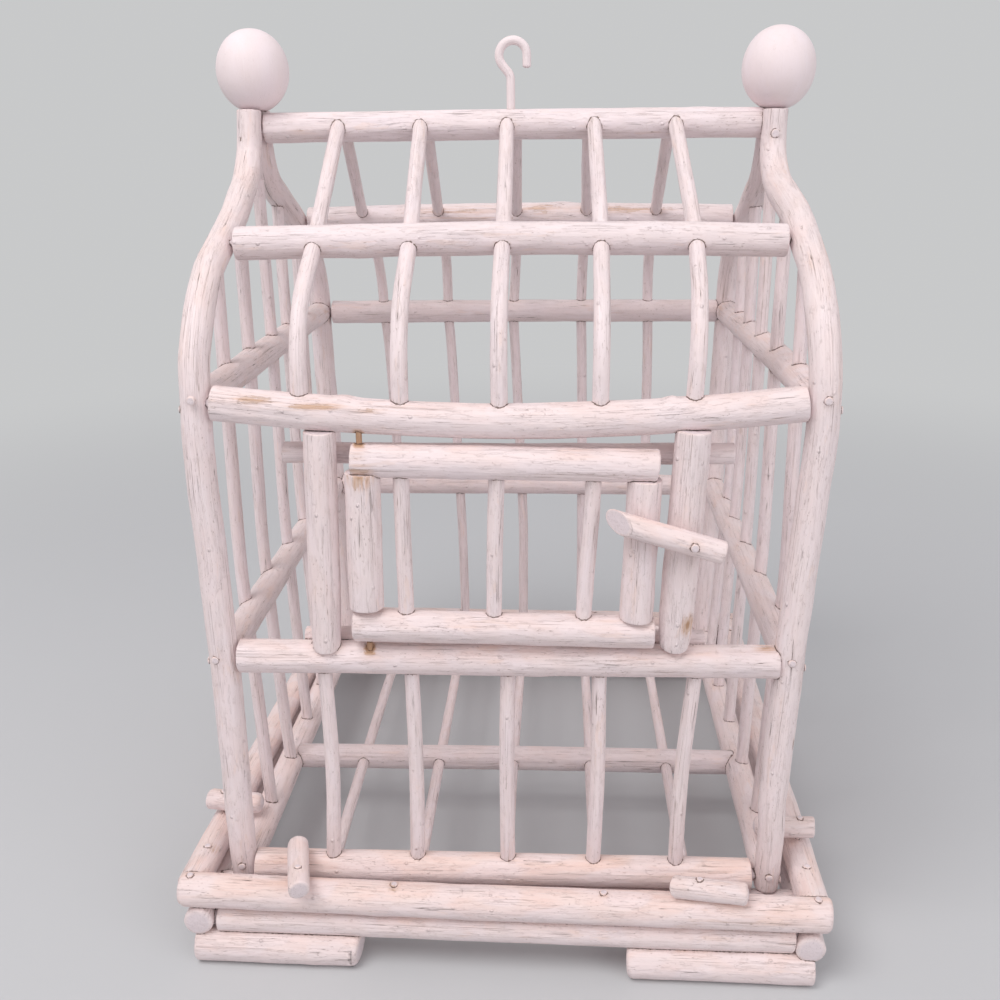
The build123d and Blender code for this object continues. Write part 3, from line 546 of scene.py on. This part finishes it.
BUTTONS = (
    ("button_front_left", on_base(-104.8, -182.0, BUTTON_Z - 0.5), 103.5, 30.0, 13.0, 5.65),
    ("button_front_right", on_base(104.3, -RIM_Y - 1.4, BUTTON_Z - 2.5), -8.0, 24.5, 15.5, 5.85),
    ("button_left", on_base(-SIDE_LOG_X, -116.5, BUTTON_Z), -7.0, 23.0, 10.0, 5.85),
    ("button_right", on_base(SIDE_LOG_X, -125.1, BUTTON_Z), 180.0, 25.0, 9.0, 5.85),
)
for k, (name, centre, heading, long_arm, short_arm, r) in enumerate(BUTTONS):
    way = np.array([math.cos(math.radians(heading)), math.sin(math.radians(heading)), 0])
    cut = {"button_front_left": (0.10, -0.10), "button_front_right": (0.28, 0.40)}.get(name, (0.0, 0.12))
    stick(name, [centre - way * short_arm, centre + way * long_arm], r, 180 + k, around=48,
          step=1.5, edge=(1.2, 2.2 if k == 1 else 3.6), dome=(0.2, 0.6), lean=(cut, (0, 0)), facets=4, knots=1,
          warm=0.7)


# ------------------------------------------------------------ nails, balls, hook
def nail(node, head, way, length, seed, head_r=2.2):
    """A round nail: its shank goes in along way from head, its head stands out."""
    way = np.array(way, float)
    if head_r:
        stick(node, [head - way * 0.7, head + way * 0.9], head_r, seed, around=28, step=0.25,
              taper=(0.9, 1.0), edge=(0.5, 0.1), dome=(0.15, 0), facets=1, knots=0, rough=0.05,
              grain=0.4, paint="nail", warm=0.7)
    shank_r = 1.2 if head_r else 1.45
    stick(node, [head + way * 1.0, head + way * length], shank_r, seed + 1, around=14, step=4.0,
          edge=(0.3, 0.3), facets=0, knots=0, rough=0.0, grain=0.0, paint="nail", warm=0.7)


for k, (h, _) in enumerate(((0.0, 0), (LOWER_H, 0), (MID_H, 0))):
    for side in (-1, 1):
        for end in (-1, 1):
            off = float(stray(side, h)) if end < 0 else 0.0
            x = side * post_x(h) + off
            grow = {0: 0.9, 1: 1.0, 2: 1.0}[k] * POST_R
            tag = 300 + 8 * k + 4 * (side > 0) + 2 * (end > 0)
            nail("frame_nails", at(x + side * grow, end * WALL_Y, h - 3.0), (-side, 0, 0), 24, tag)
            aside, down = (-2.4, 2.4) if (side, end, k) == (-1, -1, 1) else (0.0, 0.0)
            head_y = end * (WALL_Y + grow - abs(aside) * 0.2)
            nail("frame_nails", at(x + aside, head_y, h + 3.0 - down), (0, -end, 0), 24, tag + 100)
for side in (-1, 1):
    x = side * NECK_X + float(stray(side, 385))
    stick(f"post_front_{'left' if side < 0 else 'right'}",
          [at(x - 0.6, -NECK_Y - 8.3, 383.8), at(x - 0.6, -NECK_Y - 6.0, 383.8)], 2.3, 340 + side,
          around=26,
          step=0.3, edge=(0.5, 0.2), facets=1, knots=0, rough=0.05, grain=0.4, paint="nail", warm=0.45)
for k, x in enumerate((-165.5, -55.2, 55.2, 165.5)):
    for end in (-1, 1):
        top = RIM_Z + 8.9 + rim_sag(x, end) + 0.5 * (x > 100)
        nail("base_nails", on_base(x, end * RIM_Y, top), (0, 0, -1), 15, 350 + 4 * k + 2 * (end > 0))
for side in (-1, 1):
    for end in (-1, 1):
        nail("base_nails", on_base(side * SIDE_LOG_X, end * 150, SIDE_RIM_Z + 8.2), (0, 0, -1), 15,
             370 + 4 * (side > 0) + 2 * (end > 0))
for k, (name, centre, *_, r) in enumerate(BUTTONS):
    nail("base_nails", centre + np.array([0, 0, r]), (0, 0, -1), 20, 380 + 2 * k, head_r=1.9)
nail("latch_nail", LATCH + np.array([0, -5.75, 0]), (0, 1, 0), 23, 390)
for start, stop in ((261.0, 217.0), (124.0, 165.0)):
    way = (0, 0, 1 if stop > start else -1)
    nail("door_hinge_nails", at(-69, DOOR_Y, start), way, abs(stop - start), 395, head_r=0)


def ball(node, centre, half_w, half_h, floor_h, seed):
    """A turned ball with a small flat underneath, where it sits on the posts."""
    rng = np.random.default_rng(seed)
    around = 84
    theta = np.linspace(0, TAU, around, endpoint=False)
    low = math.asin((floor_h + CAGE_Z - centre[2]) / half_h)
    rows = [(0.45, low), (0.8, low)] + [(1.0, a) for a in np.linspace(low, math.pi / 2 - 0.03, 70)]
    co = []
    for share, a in rows:
        swell = 1 + 0.006 * smooth_noise(np.random.default_rng(seed), theta, a * 20.0, (1, 3),
                                         (20, 60), 5)
        r = half_w * math.cos(a) ** 0.97 * share * swell
        z = np.full(around, centre[2] + half_h * math.sin(a))
        co.append(np.column_stack([centre[0] + r * np.cos(theta), centre[1] + r * np.sin(theta), z]))
    co = np.vstack(co)
    rings = len(rows)
    index = np.arange(rings * around).reshape(rings, around)
    right = np.roll(index, -1, axis=1)
    quads = np.stack([index[:-1], right[:-1], right[1:], index[1:]], axis=-1).reshape(-1, 4)
    line = np.array([centre + np.array([0, 0, dz]) for dz in (-1.5, 0.0, 1.5)])
    STICKS.append({
        "node": node, "co": co, "quads": quads,
        "tips": [index[0][::-1].tolist(), index[-1].tolist()],
        "local": co - centre, "cap": np.zeros(len(co)), "radius": half_w,
        "line": line, "shift": rng.uniform(-900, 900, 3),
        "uv": np.column_stack([np.tile(theta / TAU, rings), co[:, 2] / 60.0]),
        "tone": 0.1, "warm": 0.05, "paint": "ball", "patch": np.full(len(co), 0.5),
    })


ball("finial_left", at(-147.7, 0, 420.7), 20.4, 22.4, 399.5, 401)
ball("finial_right", at(148.1, 0, 418.4), 20.2, 22.2, 396.8, 402)

loop = at(0.4, 0, 427.0)
turns = np.radians(np.linspace(0, 220, 60))
arc = loop + 7.8 * np.column_stack([np.cos(turns), 0 * turns, np.sin(turns)])
neck = rounded([arc[-1], at(-0.9, 0, 416.4), at(-0.9, 0, RIDGE_H + 3.0)], [6.0])
stick("hook", np.vstack([[arc[0] - np.array([0, 0, 6.4])], arc, neck[1:]]), 2.45, 403, around=32,
      step=0.9, edge=(0.9, 0.4), dome=(0.3, 0), facets=2, knots=0, rough=0.03, grain=0.6, paint="ball",
      warm=0.1)


# --------------------------------------------------------- joints and stains
def gaps_to_others(me):
    """For each point of a stick, the distance in mm to the nearest other
    stick's surface, up to 8, with its own group's parallel sticks included."""
    co = me["co"]
    best = np.full(len(co), 8.0)
    low, high = co.min(0) - 8, co.max(0) + 8
    for other in STICKS:
        if other is me:
            continue
        line, r = other["line"], other["radius"]
        inside = np.all((line > low - r) & (line < high + r), axis=1)
        if not inside.any():
            continue
        near = line[inside]
        box_low, box_high = near.min(0) - r - 8, near.max(0) + r + 8
        pick = np.where(np.all((co > box_low) & (co < box_high), axis=1))[0]
        if not len(pick):
            continue
        points = co[pick]
        nearest = np.full(len(points), 1e9)
        for i in range(0, len(near), 64):
            d = np.linalg.norm(points[:, None, :] - near[None, i:i + 64, :], axis=2)
            nearest = np.minimum(nearest, d.min(1))
        nearest = nearest - r
        close = np.where(nearest < 1.8)[0]
        if len(close):
            if "tree" not in other:
                other["tree"] = BVHTree.FromPolygons(
                    other["co"].tolist(), other["quads"].tolist() + other["tips"])
            for j in close:
                spot, normal, _, away = other["tree"].find_nearest(points[j].tolist(), 9.0)
                if spot is not None:
                    out = (Vector(points[j].tolist()) - spot).dot(normal)
                    nearest[j] = math.copysign(away, out)
        best[pick] = np.minimum(best[pick], nearest)
    return np.clip(best, -4.0, 8.0)


# Rust and wood stains: place, reach in mm along X, Y and Z, strength
STAINS = [
    (at(-68.5, -163.5, 229), (11, 9, 9), 1.3),
    (at(-69, -154.5, 245), (4, 6, 9), 3.2),
    (at(-69, -154.5, 137), (4, 6, 8), 3.2),
    (at(-69, -159, 239), (8, 6, 6), 0.7),
    (at(91, -161, 153), (5, 6, 9), 1.6),
    (at(94, -161, 146), (4, 6, 8), 1.3),
    (at(-30, -159, 262), (14, 9, 6), 0.4),
    (at(-118, -157, 266), (15, 8, 3.5), 1.2),
    (at(-90, -157, 262.5), (22, 8, 2.4), 1.3),
    (at(-60, -158, 260.5), (16, 7, 2.0), 0.7),
    (at(14, 84, SHOULDER_H + 7), (20, 9, 6), 1.0),
    (at(-40, 84, SHOULDER_H + 6), (60, 9, 5), 0.7),
    (at(70, 84, SHOULDER_H + 6), (60, 9, 5), 0.8),
    (at(-20, 84, SHOULDER_H + 1), (110, 9, 3), 0.6),
    (at(58, -172, 201), (9, 8, 5), 0.6),
    (at(40, -160, DOOR_TOP + 5), (26, 8, 3), 0.35),
    (at(52, -160, DOOR_LOW + 7), (16, 8, 3), 0.5),
    (on_base(-55.2, -178, RIM_Z + 7), (5, 6, 5), 1.0),
    (on_base(55.2, -178, RIM_Z + 6), (4, 5, 4), 0.9),
    (on_base(-160, -150, RIM_Z + 8), (6, 7, 7), 0.9),
    (at(-146, 134, 264), (9, 14, 8), 0.9),
    (at(146, 132, 264), (9, 16, 8), 0.9),
    (at(132, -152, LOWER_H + 8), (10, 8, 4), 0.8),
    (at(-120, -9, RIDGE_H - 2), (16, 8, 4), 0.5),
    (at(92, -160, 2), (22, 9, 6), 0.35),
    (at(60, -150, 8), (20, 8, 4), 0.35),
]


# How strongly the wood's figure shows through the paint
FIGURE = {"stick": 1.0, "nail": 0.25, "ball": 0.12}


def make_piece(name, node, body, sticks, material):
    mesh = bpy.data.meshes.new(name)
    co, faces, offset = [], [], 0
    grain, gap, ends, rust, tone, uv, warm, patch, fine = [], [], [], [], [], [], [], [], []
    for st in sticks:
        co.append(st["co"])
        faces += (st["quads"] + offset).tolist()
        faces += [[i + offset for i in tip] for tip in st["tips"]]
        grain.append((st["local"] + st["shift"]) * MM)
        gap.append(gaps_to_others(st))
        ends.append(st["cap"])
        tone.append(np.full(len(st["co"]), st["tone"]))
        uv.append(st["uv"])
        warm.append(np.full(len(st["co"]), st["warm"]))
        patch.append(st["patch"])
        fine.append(np.full(len(st["co"]), FIGURE[st["paint"]]))
        stain = np.zeros(len(st["co"]))
        for place, reach, strength in STAINS:
            d = np.linalg.norm((st["co"] - place) / np.array(reach), axis=1)
            stain = np.maximum(stain, strength * np.clip(1 - d, 0, 1))
        rust.append(stain)
        offset += len(st["co"])
    co = np.vstack(co)
    mesh.from_pydata((co * MM).tolist(), [], faces)
    mesh.polygons.foreach_set("use_smooth", [True] * len(mesh.polygons))

    def attribute(label, kind, values):
        data = mesh.attributes.new(label, kind, "POINT").data
        field = "vector" if kind == "FLOAT_VECTOR" else "value"
        data.foreach_set(field, np.ascontiguousarray(values, np.float32).ravel())

    attribute("grain", "FLOAT_VECTOR", np.vstack(grain))
    attribute("gap", "FLOAT", np.concatenate(gap))
    attribute("cut", "FLOAT", np.concatenate(ends))
    attribute("rust", "FLOAT", np.concatenate(rust))
    attribute("tone", "FLOAT", np.concatenate(tone))
    attribute("warm", "FLOAT", np.concatenate(warm))
    attribute("patch", "FLOAT", np.concatenate(patch))
    attribute("figure", "FLOAT", np.concatenate(fine))
    # up is how much each point faces upward; the paint uses it for painted warm light on upper sides
    normals = np.zeros(len(co) * 3)
    mesh.vertices.foreach_get("normal", normals)
    attribute("up", "FLOAT", normals.reshape(-1, 3)[:, 2])
    layer = mesh.uv_layers.new(name="UVMap")
    loops = np.zeros(len(mesh.loops), np.int32)
    mesh.loops.foreach_get("vertex_index", loops)
    layer.data.foreach_set("uv", np.vstack(uv)[loops].astype(np.float32).ravel())
    mesh.materials.append(material)
    mesh.update()
    piece = bpy.data.objects.new(name, mesh)
    bpy.context.scene.collection.objects.link(piece)
    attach(piece, body)
    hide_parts(node)
    return piece


# ------------------------------------------------------------------ materials
class Nodes:
    """Small helper to write a node tree as expressions."""

    def __init__(self, name):
        self.material = bpy.data.materials.new(name)
        self.material.use_nodes = True
        self.tree = self.material.node_tree
        self.tree.nodes.clear()

    def node(self, kind, **settings):
        n = self.tree.nodes.new(kind)
        for key, value in settings.items():
            setattr(n, key, value)
        return n

    def link(self, out, socket):
        self.tree.links.new(out, socket)

    def put(self, socket, value):
        if isinstance(value, bpy.types.NodeSocket):
            self.link(value, socket)
        else:
            socket.default_value = value

    def math(self, operation, a, b=0.0, c=0.0, clamp=False):
        n = self.node("ShaderNodeMath", operation=operation, use_clamp=clamp)
        for socket, value in zip(n.inputs, (a, b, c)):
            self.put(socket, value)
        return n.outputs[0]

    def attribute(self, name, output="Fac"):
        return self.node("ShaderNodeAttribute", attribute_name=name).outputs[output]

    def scaled(self, vector, x, y, z, move=(0, 0, 0)):
        n = self.node("ShaderNodeMapping")
        self.link(vector, n.inputs["Vector"])
        n.inputs["Scale"].default_value = (x, y, z)
        n.inputs["Location"].default_value = move
        return n.outputs[0]

    def noise(self, vector, detail=3.0, rough=0.55, distortion=0.0):
        n = self.node("ShaderNodeTexNoise")
        self.link(vector, n.inputs["Vector"])
        n.inputs["Scale"].default_value = 1.0
        n.inputs["Detail"].default_value = detail
        n.inputs["Roughness"].default_value = rough
        n.inputs["Distortion"].default_value = distortion
        return n.outputs["Fac"]

    def ramp(self, value, low, high, to_low=0.0, to_high=1.0, kind="SMOOTHSTEP"):
        n = self.node("ShaderNodeMapRange", interpolation_type=kind, clamp=True) \
            if kind == "LINEAR" else self.node("ShaderNodeMapRange", interpolation_type=kind)
        self.put(n.inputs["Value"], value)
        self.put(n.inputs["From Min"], low)
        self.put(n.inputs["From Max"], high)
        n.inputs["To Min"].default_value = to_low
        n.inputs["To Max"].default_value = to_high
        return n.outputs[0]

    def mix(self, factor, a, b):
        n = self.node("ShaderNodeMix", data_type="RGBA")
        self.put(n.inputs[0], factor)
        for socket, value in ((n.inputs[6], a), (n.inputs[7], b)):
            self.put(socket, value)
        return n.outputs[2]


def painted_stick_material(name):
    """Thin off-white paint on a peeled stick: long hair cracks, a few dark
    checks and flecks, peach on top that is partly the undercoat showing and
    partly painted warm light from above, chipped rings at the joints, smooth
    painted cut ends."""
    m = Nodes(name)
    grain = m.attribute("grain", "Vector")
    gap = m.attribute("gap")
    cut = m.attribute("cut")
    rust = m.attribute("rust")
    tone = m.attribute("tone")
    warm = m.attribute("warm")
    patch = m.attribute("patch")
    figure = m.attribute("figure")
    up = m.attribute("up")
    side = m.math("MULTIPLY", figure, m.math("SUBTRACT", 1.0, cut))

    # masks
    fibre = m.noise(m.scaled(grain, 1500, 1500, 36), 4.0, 0.6)
    broad = m.noise(m.scaled(grain, 95, 95, 18), 3.0, 0.55)
    worn = m.noise(m.scaled(grain, 190, 190, 40, (3.1, 7.7, 1.3)), 4.0, 0.6)
    line_field = m.noise(m.scaled(grain, 560, 560, 8.0, (11, 5, 2)), 2.0, 0.5, 0.08)
    line_here = m.noise(m.scaled(grain, 300, 300, 40, (2, 9, 4)), 2.0, 0.5)
    width = m.ramp(line_here, 0.565, 0.78, 0.0, 0.016, "LINEAR")
    line = m.math("SUBTRACT", m.math("ABSOLUTE", m.math("SUBTRACT", line_field, 0.5)), width)
    check = m.math("MULTIPLY", m.ramp(line, -0.007, 0.002, 1.0, 0.0), side)
    hair_field = m.noise(m.scaled(grain, 1000, 1000, 4.5, (7, 3, 8)), 1.0, 0.5, 0.02)
    hair_here = m.ramp(m.noise(m.scaled(grain, 170, 170, 22, (5, 1, 6)), 3.0, 0.6), 0.43, 0.60)
    hair = m.ramp(m.math("ABSOLUTE", m.math("SUBTRACT", hair_field, 0.5)), 0.0, 0.015, 1.0, 0.0)
    hair = m.math("MULTIPLY", m.math("MULTIPLY", hair, hair_here), side)
    fleck_field = m.noise(m.scaled(grain, 1400, 1400, 420, (1, 8, 3)), 2.0, 0.5)
    fleck_here = m.noise(m.scaled(grain, 120, 120, 40, (4, 4, 9)), 2.0, 0.5)
    fleck = m.ramp(m.math("ADD", fleck_field, m.math("MULTIPLY", fleck_here, 0.30)), 0.850, 0.885)
    fleck = m.math("MULTIPLY", fleck, m.math("MAXIMUM", figure, 0.35))
    chip_field = m.noise(m.scaled(grain, 420, 420, 130, (9, 2, 5)), 5.0, 0.7)
    chip = m.ramp(m.math("ADD", chip_field, m.math("MULTIPLY", rust, 0.40)), 0.76, 0.80)
    joint_noise = m.noise(m.scaled(grain, 700, 700, 700, (6, 6, 1)), 3.0, 0.6)
    joint_width = m.ramp(joint_noise, 0.36, 0.66, 0.02, 0.55, "LINEAR")
    near = m.math("ABSOLUTE", gap)
    joint = m.ramp(m.math("SUBTRACT", near, joint_width), -0.10, 0.16, 1.0, 0.0)
    joint = m.math("MULTIPLY", joint, m.ramp(figure, 0.15, 0.22))
    # grime_and_painted_shade: brownish darkening up to 3.2 mm from other sticks, partly real grime and partly
    # painted shade where parts meet
    grime_and_painted_shade = m.math("MULTIPLY", m.ramp(near, 0.0, 3.2, 1.0, 0.0), m.ramp(joint_noise, 0.40, 0.72))
    lumps = m.noise(m.scaled(grain, 420, 420, 210, (8, 1, 2)), 3.0, 0.6)
    cells = m.node("ShaderNodeTexVoronoi", feature="F1")
    m.link(m.scaled(grain, 105, 105, 85, (1, 4, 2)), cells.inputs["Vector"])
    cells.inputs["Scale"].default_value = 1.0
    dots = m.math("MULTIPLY", m.ramp(cells.outputs["Distance"], 0.03, 0.115, 1.0, 0.0), side)
    flake_field = m.noise(m.scaled(grain, 720, 720, 130, (3, 3, 7)), 2.0, 0.5)
    flake = m.ramp(m.math("ADD", flake_field, m.math("MULTIPLY", line_here, 0.20)), 0.70, 0.73)
    flake_edge = m.math("SUBTRACT", m.ramp(m.math("ADD", flake_field,
                        m.math("MULTIPLY", line_here, 0.20)), 0.67, 0.70), flake)
    flake_edge = m.math("MULTIPLY", flake_edge, side)

    # colours, laid over one another
    # Peach over the cool lilac paint: in patches it is the undercoat showing where the paint is thin, and its
    # weighting to upward faces is painted warm light from above
    cool = m.mix(m.ramp(broad, 0.32, 0.68), (0.850, 0.735, 0.735, 1), (0.870, 0.762, 0.782, 1))
    peach = m.mix(m.ramp(worn, 0.34, 0.66), (0.865, 0.675, 0.610, 1), (0.850, 0.605, 0.525, 1))
    top = m.ramp(up, -0.35, 0.85, 0.35, 1.0)
    spread = m.ramp(m.math("ADD", broad, patch), 0.7, 1.2, 0.55, 1.0)
    peach_undercoat_and_painted_top_light = m.math("MULTIPLY", m.math("MULTIPLY", warm, top), spread)
    paint = m.mix(peach_undercoat_and_painted_top_light, cool, peach)
    paint = m.mix(m.ramp(tone, 0.0, 1.0, 0.0, 0.30, "LINEAR"), paint, (0.80, 0.700, 0.690, 1))
    blot = m.math("MULTIPLY", m.ramp(worn, 0.60, 0.70), m.math("MULTIPLY", figure, 0.22))
    paint = m.mix(blot, paint, (0.86, 0.60, 0.46, 1))
    paint = m.mix(m.math("MULTIPLY", m.ramp(fibre, 0.52, 0.74), m.math("MULTIPLY", side, 0.16)), paint,
                  (0.55, 0.45, 0.42, 1))
    paint = m.mix(m.math("MULTIPLY", m.ramp(fibre, 0.46, 0.28), 0.22), paint, (0.90, 0.82, 0.82, 1))
    paint = m.mix(m.math("MULTIPLY", flake_edge, 0.20), paint, (0.55, 0.42, 0.37, 1))
    paint = m.mix(m.math("MULTIPLY", hair, 0.66), paint, (0.36, 0.25, 0.21, 1))
    paint = m.mix(m.math("MULTIPLY", fleck, 0.40), paint, (0.34, 0.23, 0.19, 1))
    paint = m.mix(m.math("MULTIPLY", check, 0.74), paint, (0.17, 0.105, 0.08, 1))
    streak = m.noise(m.scaled(grain, 620, 620, 26, (4, 2, 1)), 3.0, 0.6)
    stain = m.math("MULTIPLY", m.ramp(rust, 0.05, 0.8), m.ramp(streak, 0.40, 0.62, 0.10, 1.0))
    paint = m.mix(m.math("MULTIPLY", stain, 0.66), paint, (0.66, 0.38, 0.23, 1))
    paint = m.mix(m.ramp(rust, 0.95, 1.35, 0.0, 0.9), paint, (0.34, 0.17, 0.09, 1))
    paint = m.mix(m.math("MULTIPLY", chip, 0.40), paint, (0.56, 0.36, 0.22, 1))
    # painted shade where sticks meet, mixed with grime: darkens the paint near other sticks
    paint = m.mix(m.math("MULTIPLY", grime_and_painted_shade, 0.26), paint, (0.58, 0.42, 0.33, 1))
    paint = m.mix(m.math("MULTIPLY", joint, 0.80), paint, (0.15, 0.085, 0.06, 1))
    pores = m.noise(m.scaled(grain, 1500, 1500, 200, (2, 2, 2)), 3.0, 0.6)
    end_paint = m.mix(m.ramp(pores, 0.50, 0.80), (0.74, 0.645, 0.665, 1), (0.52, 0.44, 0.44, 1))
    end_paint = m.mix(m.math("MULTIPLY", joint, 0.7), end_paint, (0.20, 0.12, 0.09, 1))
    colour = m.mix(m.math("MULTIPLY", cut, 0.85), paint, end_paint)

    # relief: fibres stand up, cracks and flecks go in
    height = m.math("MULTIPLY", fibre, m.math("MULTIPLY", figure, 0.50))
    height = m.math("ADD", height, m.math("MULTIPLY", lumps, m.math("MULTIPLY", figure, 0.75)))
    height = m.math("ADD", height, m.math("MULTIPLY", m.math("MULTIPLY", flake, side), 0.45))
    height = m.math("ADD", height, m.math("MULTIPLY", dots, 1.5))
    height = m.math("SUBTRACT", height, m.math("MULTIPLY", check, 0.8))
    height = m.math("SUBTRACT", height, m.math("MULTIPLY", hair, 0.30))
    height = m.math("SUBTRACT", height, m.math("MULTIPLY", fleck, 0.35))
    height = m.math("SUBTRACT", height, m.math("MULTIPLY", chip, 0.4))
    height = m.math("SUBTRACT", height, m.math("MULTIPLY", joint, 0.7))
    bump = m.node("ShaderNodeBump")
    bump.inputs["Strength"].default_value = 0.75
    bump.inputs["Distance"].default_value = 0.0006
    m.link(height, bump.inputs["Height"])

    shader = m.node("ShaderNodeBsdfPrincipled")
    m.link(colour, shader.inputs["Base Color"])
    m.link(m.ramp(m.math("ADD", fibre, m.math("MULTIPLY", chip, 0.4)), 0.2, 0.9, 0.50, 0.72, "LINEAR"),
           shader.inputs["Roughness"])
    shader.inputs["Specular IOR Level"].default_value = 0.36
    m.link(bump.outputs[0], shader.inputs["Normal"])
    out = m.node("ShaderNodeOutputMaterial")
    m.link(shader.outputs[0], out.inputs[0])
    return m.material


stick_paint = painted_stick_material("whitewashed_stick")

body_of_node = {n: o["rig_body"] for n, o in frame["nodes"].items()}
groups = {}
for st in STICKS:
    groups.setdefault(st["node"], []).append(st)
for node, sticks in groups.items():
    make_piece("visual_" + node, node, body_of_node[node], sticks, stick_paint)

# Whatever still shows of the frame gets the plain version of the same paint
for node, obj in frame["nodes"].items():
    if not obj.hide_render:
        obj.data.materials.clear()
        obj.data.materials.append(stick_paint)

# ------------------------------------------------------------ floor and light
floor_mesh = bpy.data.meshes.new("floor")
floor_mesh.from_pydata([(-6, -6, 0), (6, -6, 0), (6, 6, 0), (-6, 6, 0)], [], [(0, 1, 2, 3)])
floor = bpy.data.objects.new("floor", floor_mesh)
bpy.context.scene.collection.objects.link(floor)
floor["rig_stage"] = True
FLOOR = (0.56, 0.565, 0.57, 1)
BACKDROP = (0.58, 0.585, 0.59, 1)


def seen(nodes):
    """1 for the rays that show the surroundings themselves, else 0."""
    path = nodes.node("ShaderNodeLightPath")
    rays = nodes.math("ADD", path.outputs["Is Camera Ray"], path.outputs["Is Glossy Ray"])
    return nodes.math("ADD", rays, path.outputs["Is Transmission Ray"], clamp=True)


ground = Nodes("floor_plain")
place_on = ground.node("ShaderNodeTexCoord").outputs["Object"]
away = ground.node("ShaderNodeVectorMath", operation="LENGTH")
ground.link(place_on, away.inputs[0])
fade = ground.math("MULTIPLY", ground.ramp(away.outputs["Value"], 0.45, 1.5), seen(ground))
shade = ground.node("ShaderNodeBsdfDiffuse")
shade.inputs["Color"].default_value = FLOOR
plain = ground.node("ShaderNodeEmission")
plain.inputs["Color"].default_value = BACKDROP
plain.inputs["Strength"].default_value = 1.0
both = ground.node("ShaderNodeMixShader")
ground.link(fade, both.inputs[0])
ground.link(shade.outputs[0], both.inputs[1])
ground.link(plain.outputs[0], both.inputs[2])
ground.link(both.outputs[0], ground.node("ShaderNodeOutputMaterial").inputs[0])
floor_mesh.materials.append(ground.material)


def softbox(name, place, target, size, power, colour):
    light = bpy.data.lights.new(name, "AREA")
    light.shape = "DISK"
    light.size = size
    light.energy = power
    light.color = colour
    lamp = bpy.data.objects.new(name, light)
    lamp.location = place
    lamp.rotation_euler = (Vector(target) - Vector(place)).to_track_quat("-Z", "Y").to_euler()
    bpy.context.scene.collection.objects.link(lamp)


softbox("key", (-0.7, -0.9, 1.9), (0, 0, 0.2), 1.3, 22.5, (1.0, 0.985, 0.985))
softbox("fill", (1.4, -1.4, 0.9), (0, 0, 0.2), 1.6, 9.5, (0.98, 0.975, 1.0))

class WorldNodes(Nodes):
    """The same helper on the world's tree."""

    def __init__(self, name):
        self.world = bpy.data.worlds.new(name)
        self.world.use_nodes = True
        self.tree = self.world.node_tree
        self.tree.nodes.clear()


sky = WorldNodes("studio")
world = sky.world
soft = sky.node("ShaderNodeBackground")
soft.inputs["Color"].default_value = (0.97, 0.96, 1.0, 1)
soft.inputs["Strength"].default_value = 0.62
behind = sky.node("ShaderNodeBackground")
behind.inputs["Color"].default_value = BACKDROP
behind.inputs["Strength"].default_value = 1.0
either = sky.node("ShaderNodeMixShader")
sky.link(seen(sky), either.inputs[0])
sky.link(soft.outputs[0], either.inputs[1])
sky.link(behind.outputs[0], either.inputs[2])
sky.link(either.outputs[0], sky.node("ShaderNodeOutputWorld").inputs[0])
bpy.context.scene.world = world
bpy.context.scene.view_settings.view_transform = "Standard"

# --------------------------------------------------------------------- camera
PITCH_DOWN, YAW, ROLL = map(math.radians, (18.203, 2.963, -0.637))
forward = Vector((-math.sin(YAW) * math.cos(PITCH_DOWN), math.cos(YAW) * math.cos(PITCH_DOWN),
                  -math.sin(PITCH_DOWN)))
level = Vector((math.cos(YAW), math.sin(YAW), 0))
upright = level.cross(forward)
cam_right = level * math.cos(ROLL) + upright * math.sin(ROLL)
cam_up = upright * math.cos(ROLL) - level * math.sin(ROLL)
camera_data = bpy.data.cameras.new("camera")
camera_data.sensor_width = 36.0
camera_data.lens = 1076.68 / 1000 * 36.0
camera = bpy.data.objects.new("camera", camera_data)
place = Vector((24.06, -650.22, 378.82 + CAGE_Z)) * MM
axes = Matrix((cam_right, cam_up, -forward)).transposed().to_4x4()
camera.matrix_world = Matrix.Translation(place) @ axes
bpy.context.scene.collection.objects.link(camera)
bpy.context.scene.camera = camera

low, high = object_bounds()
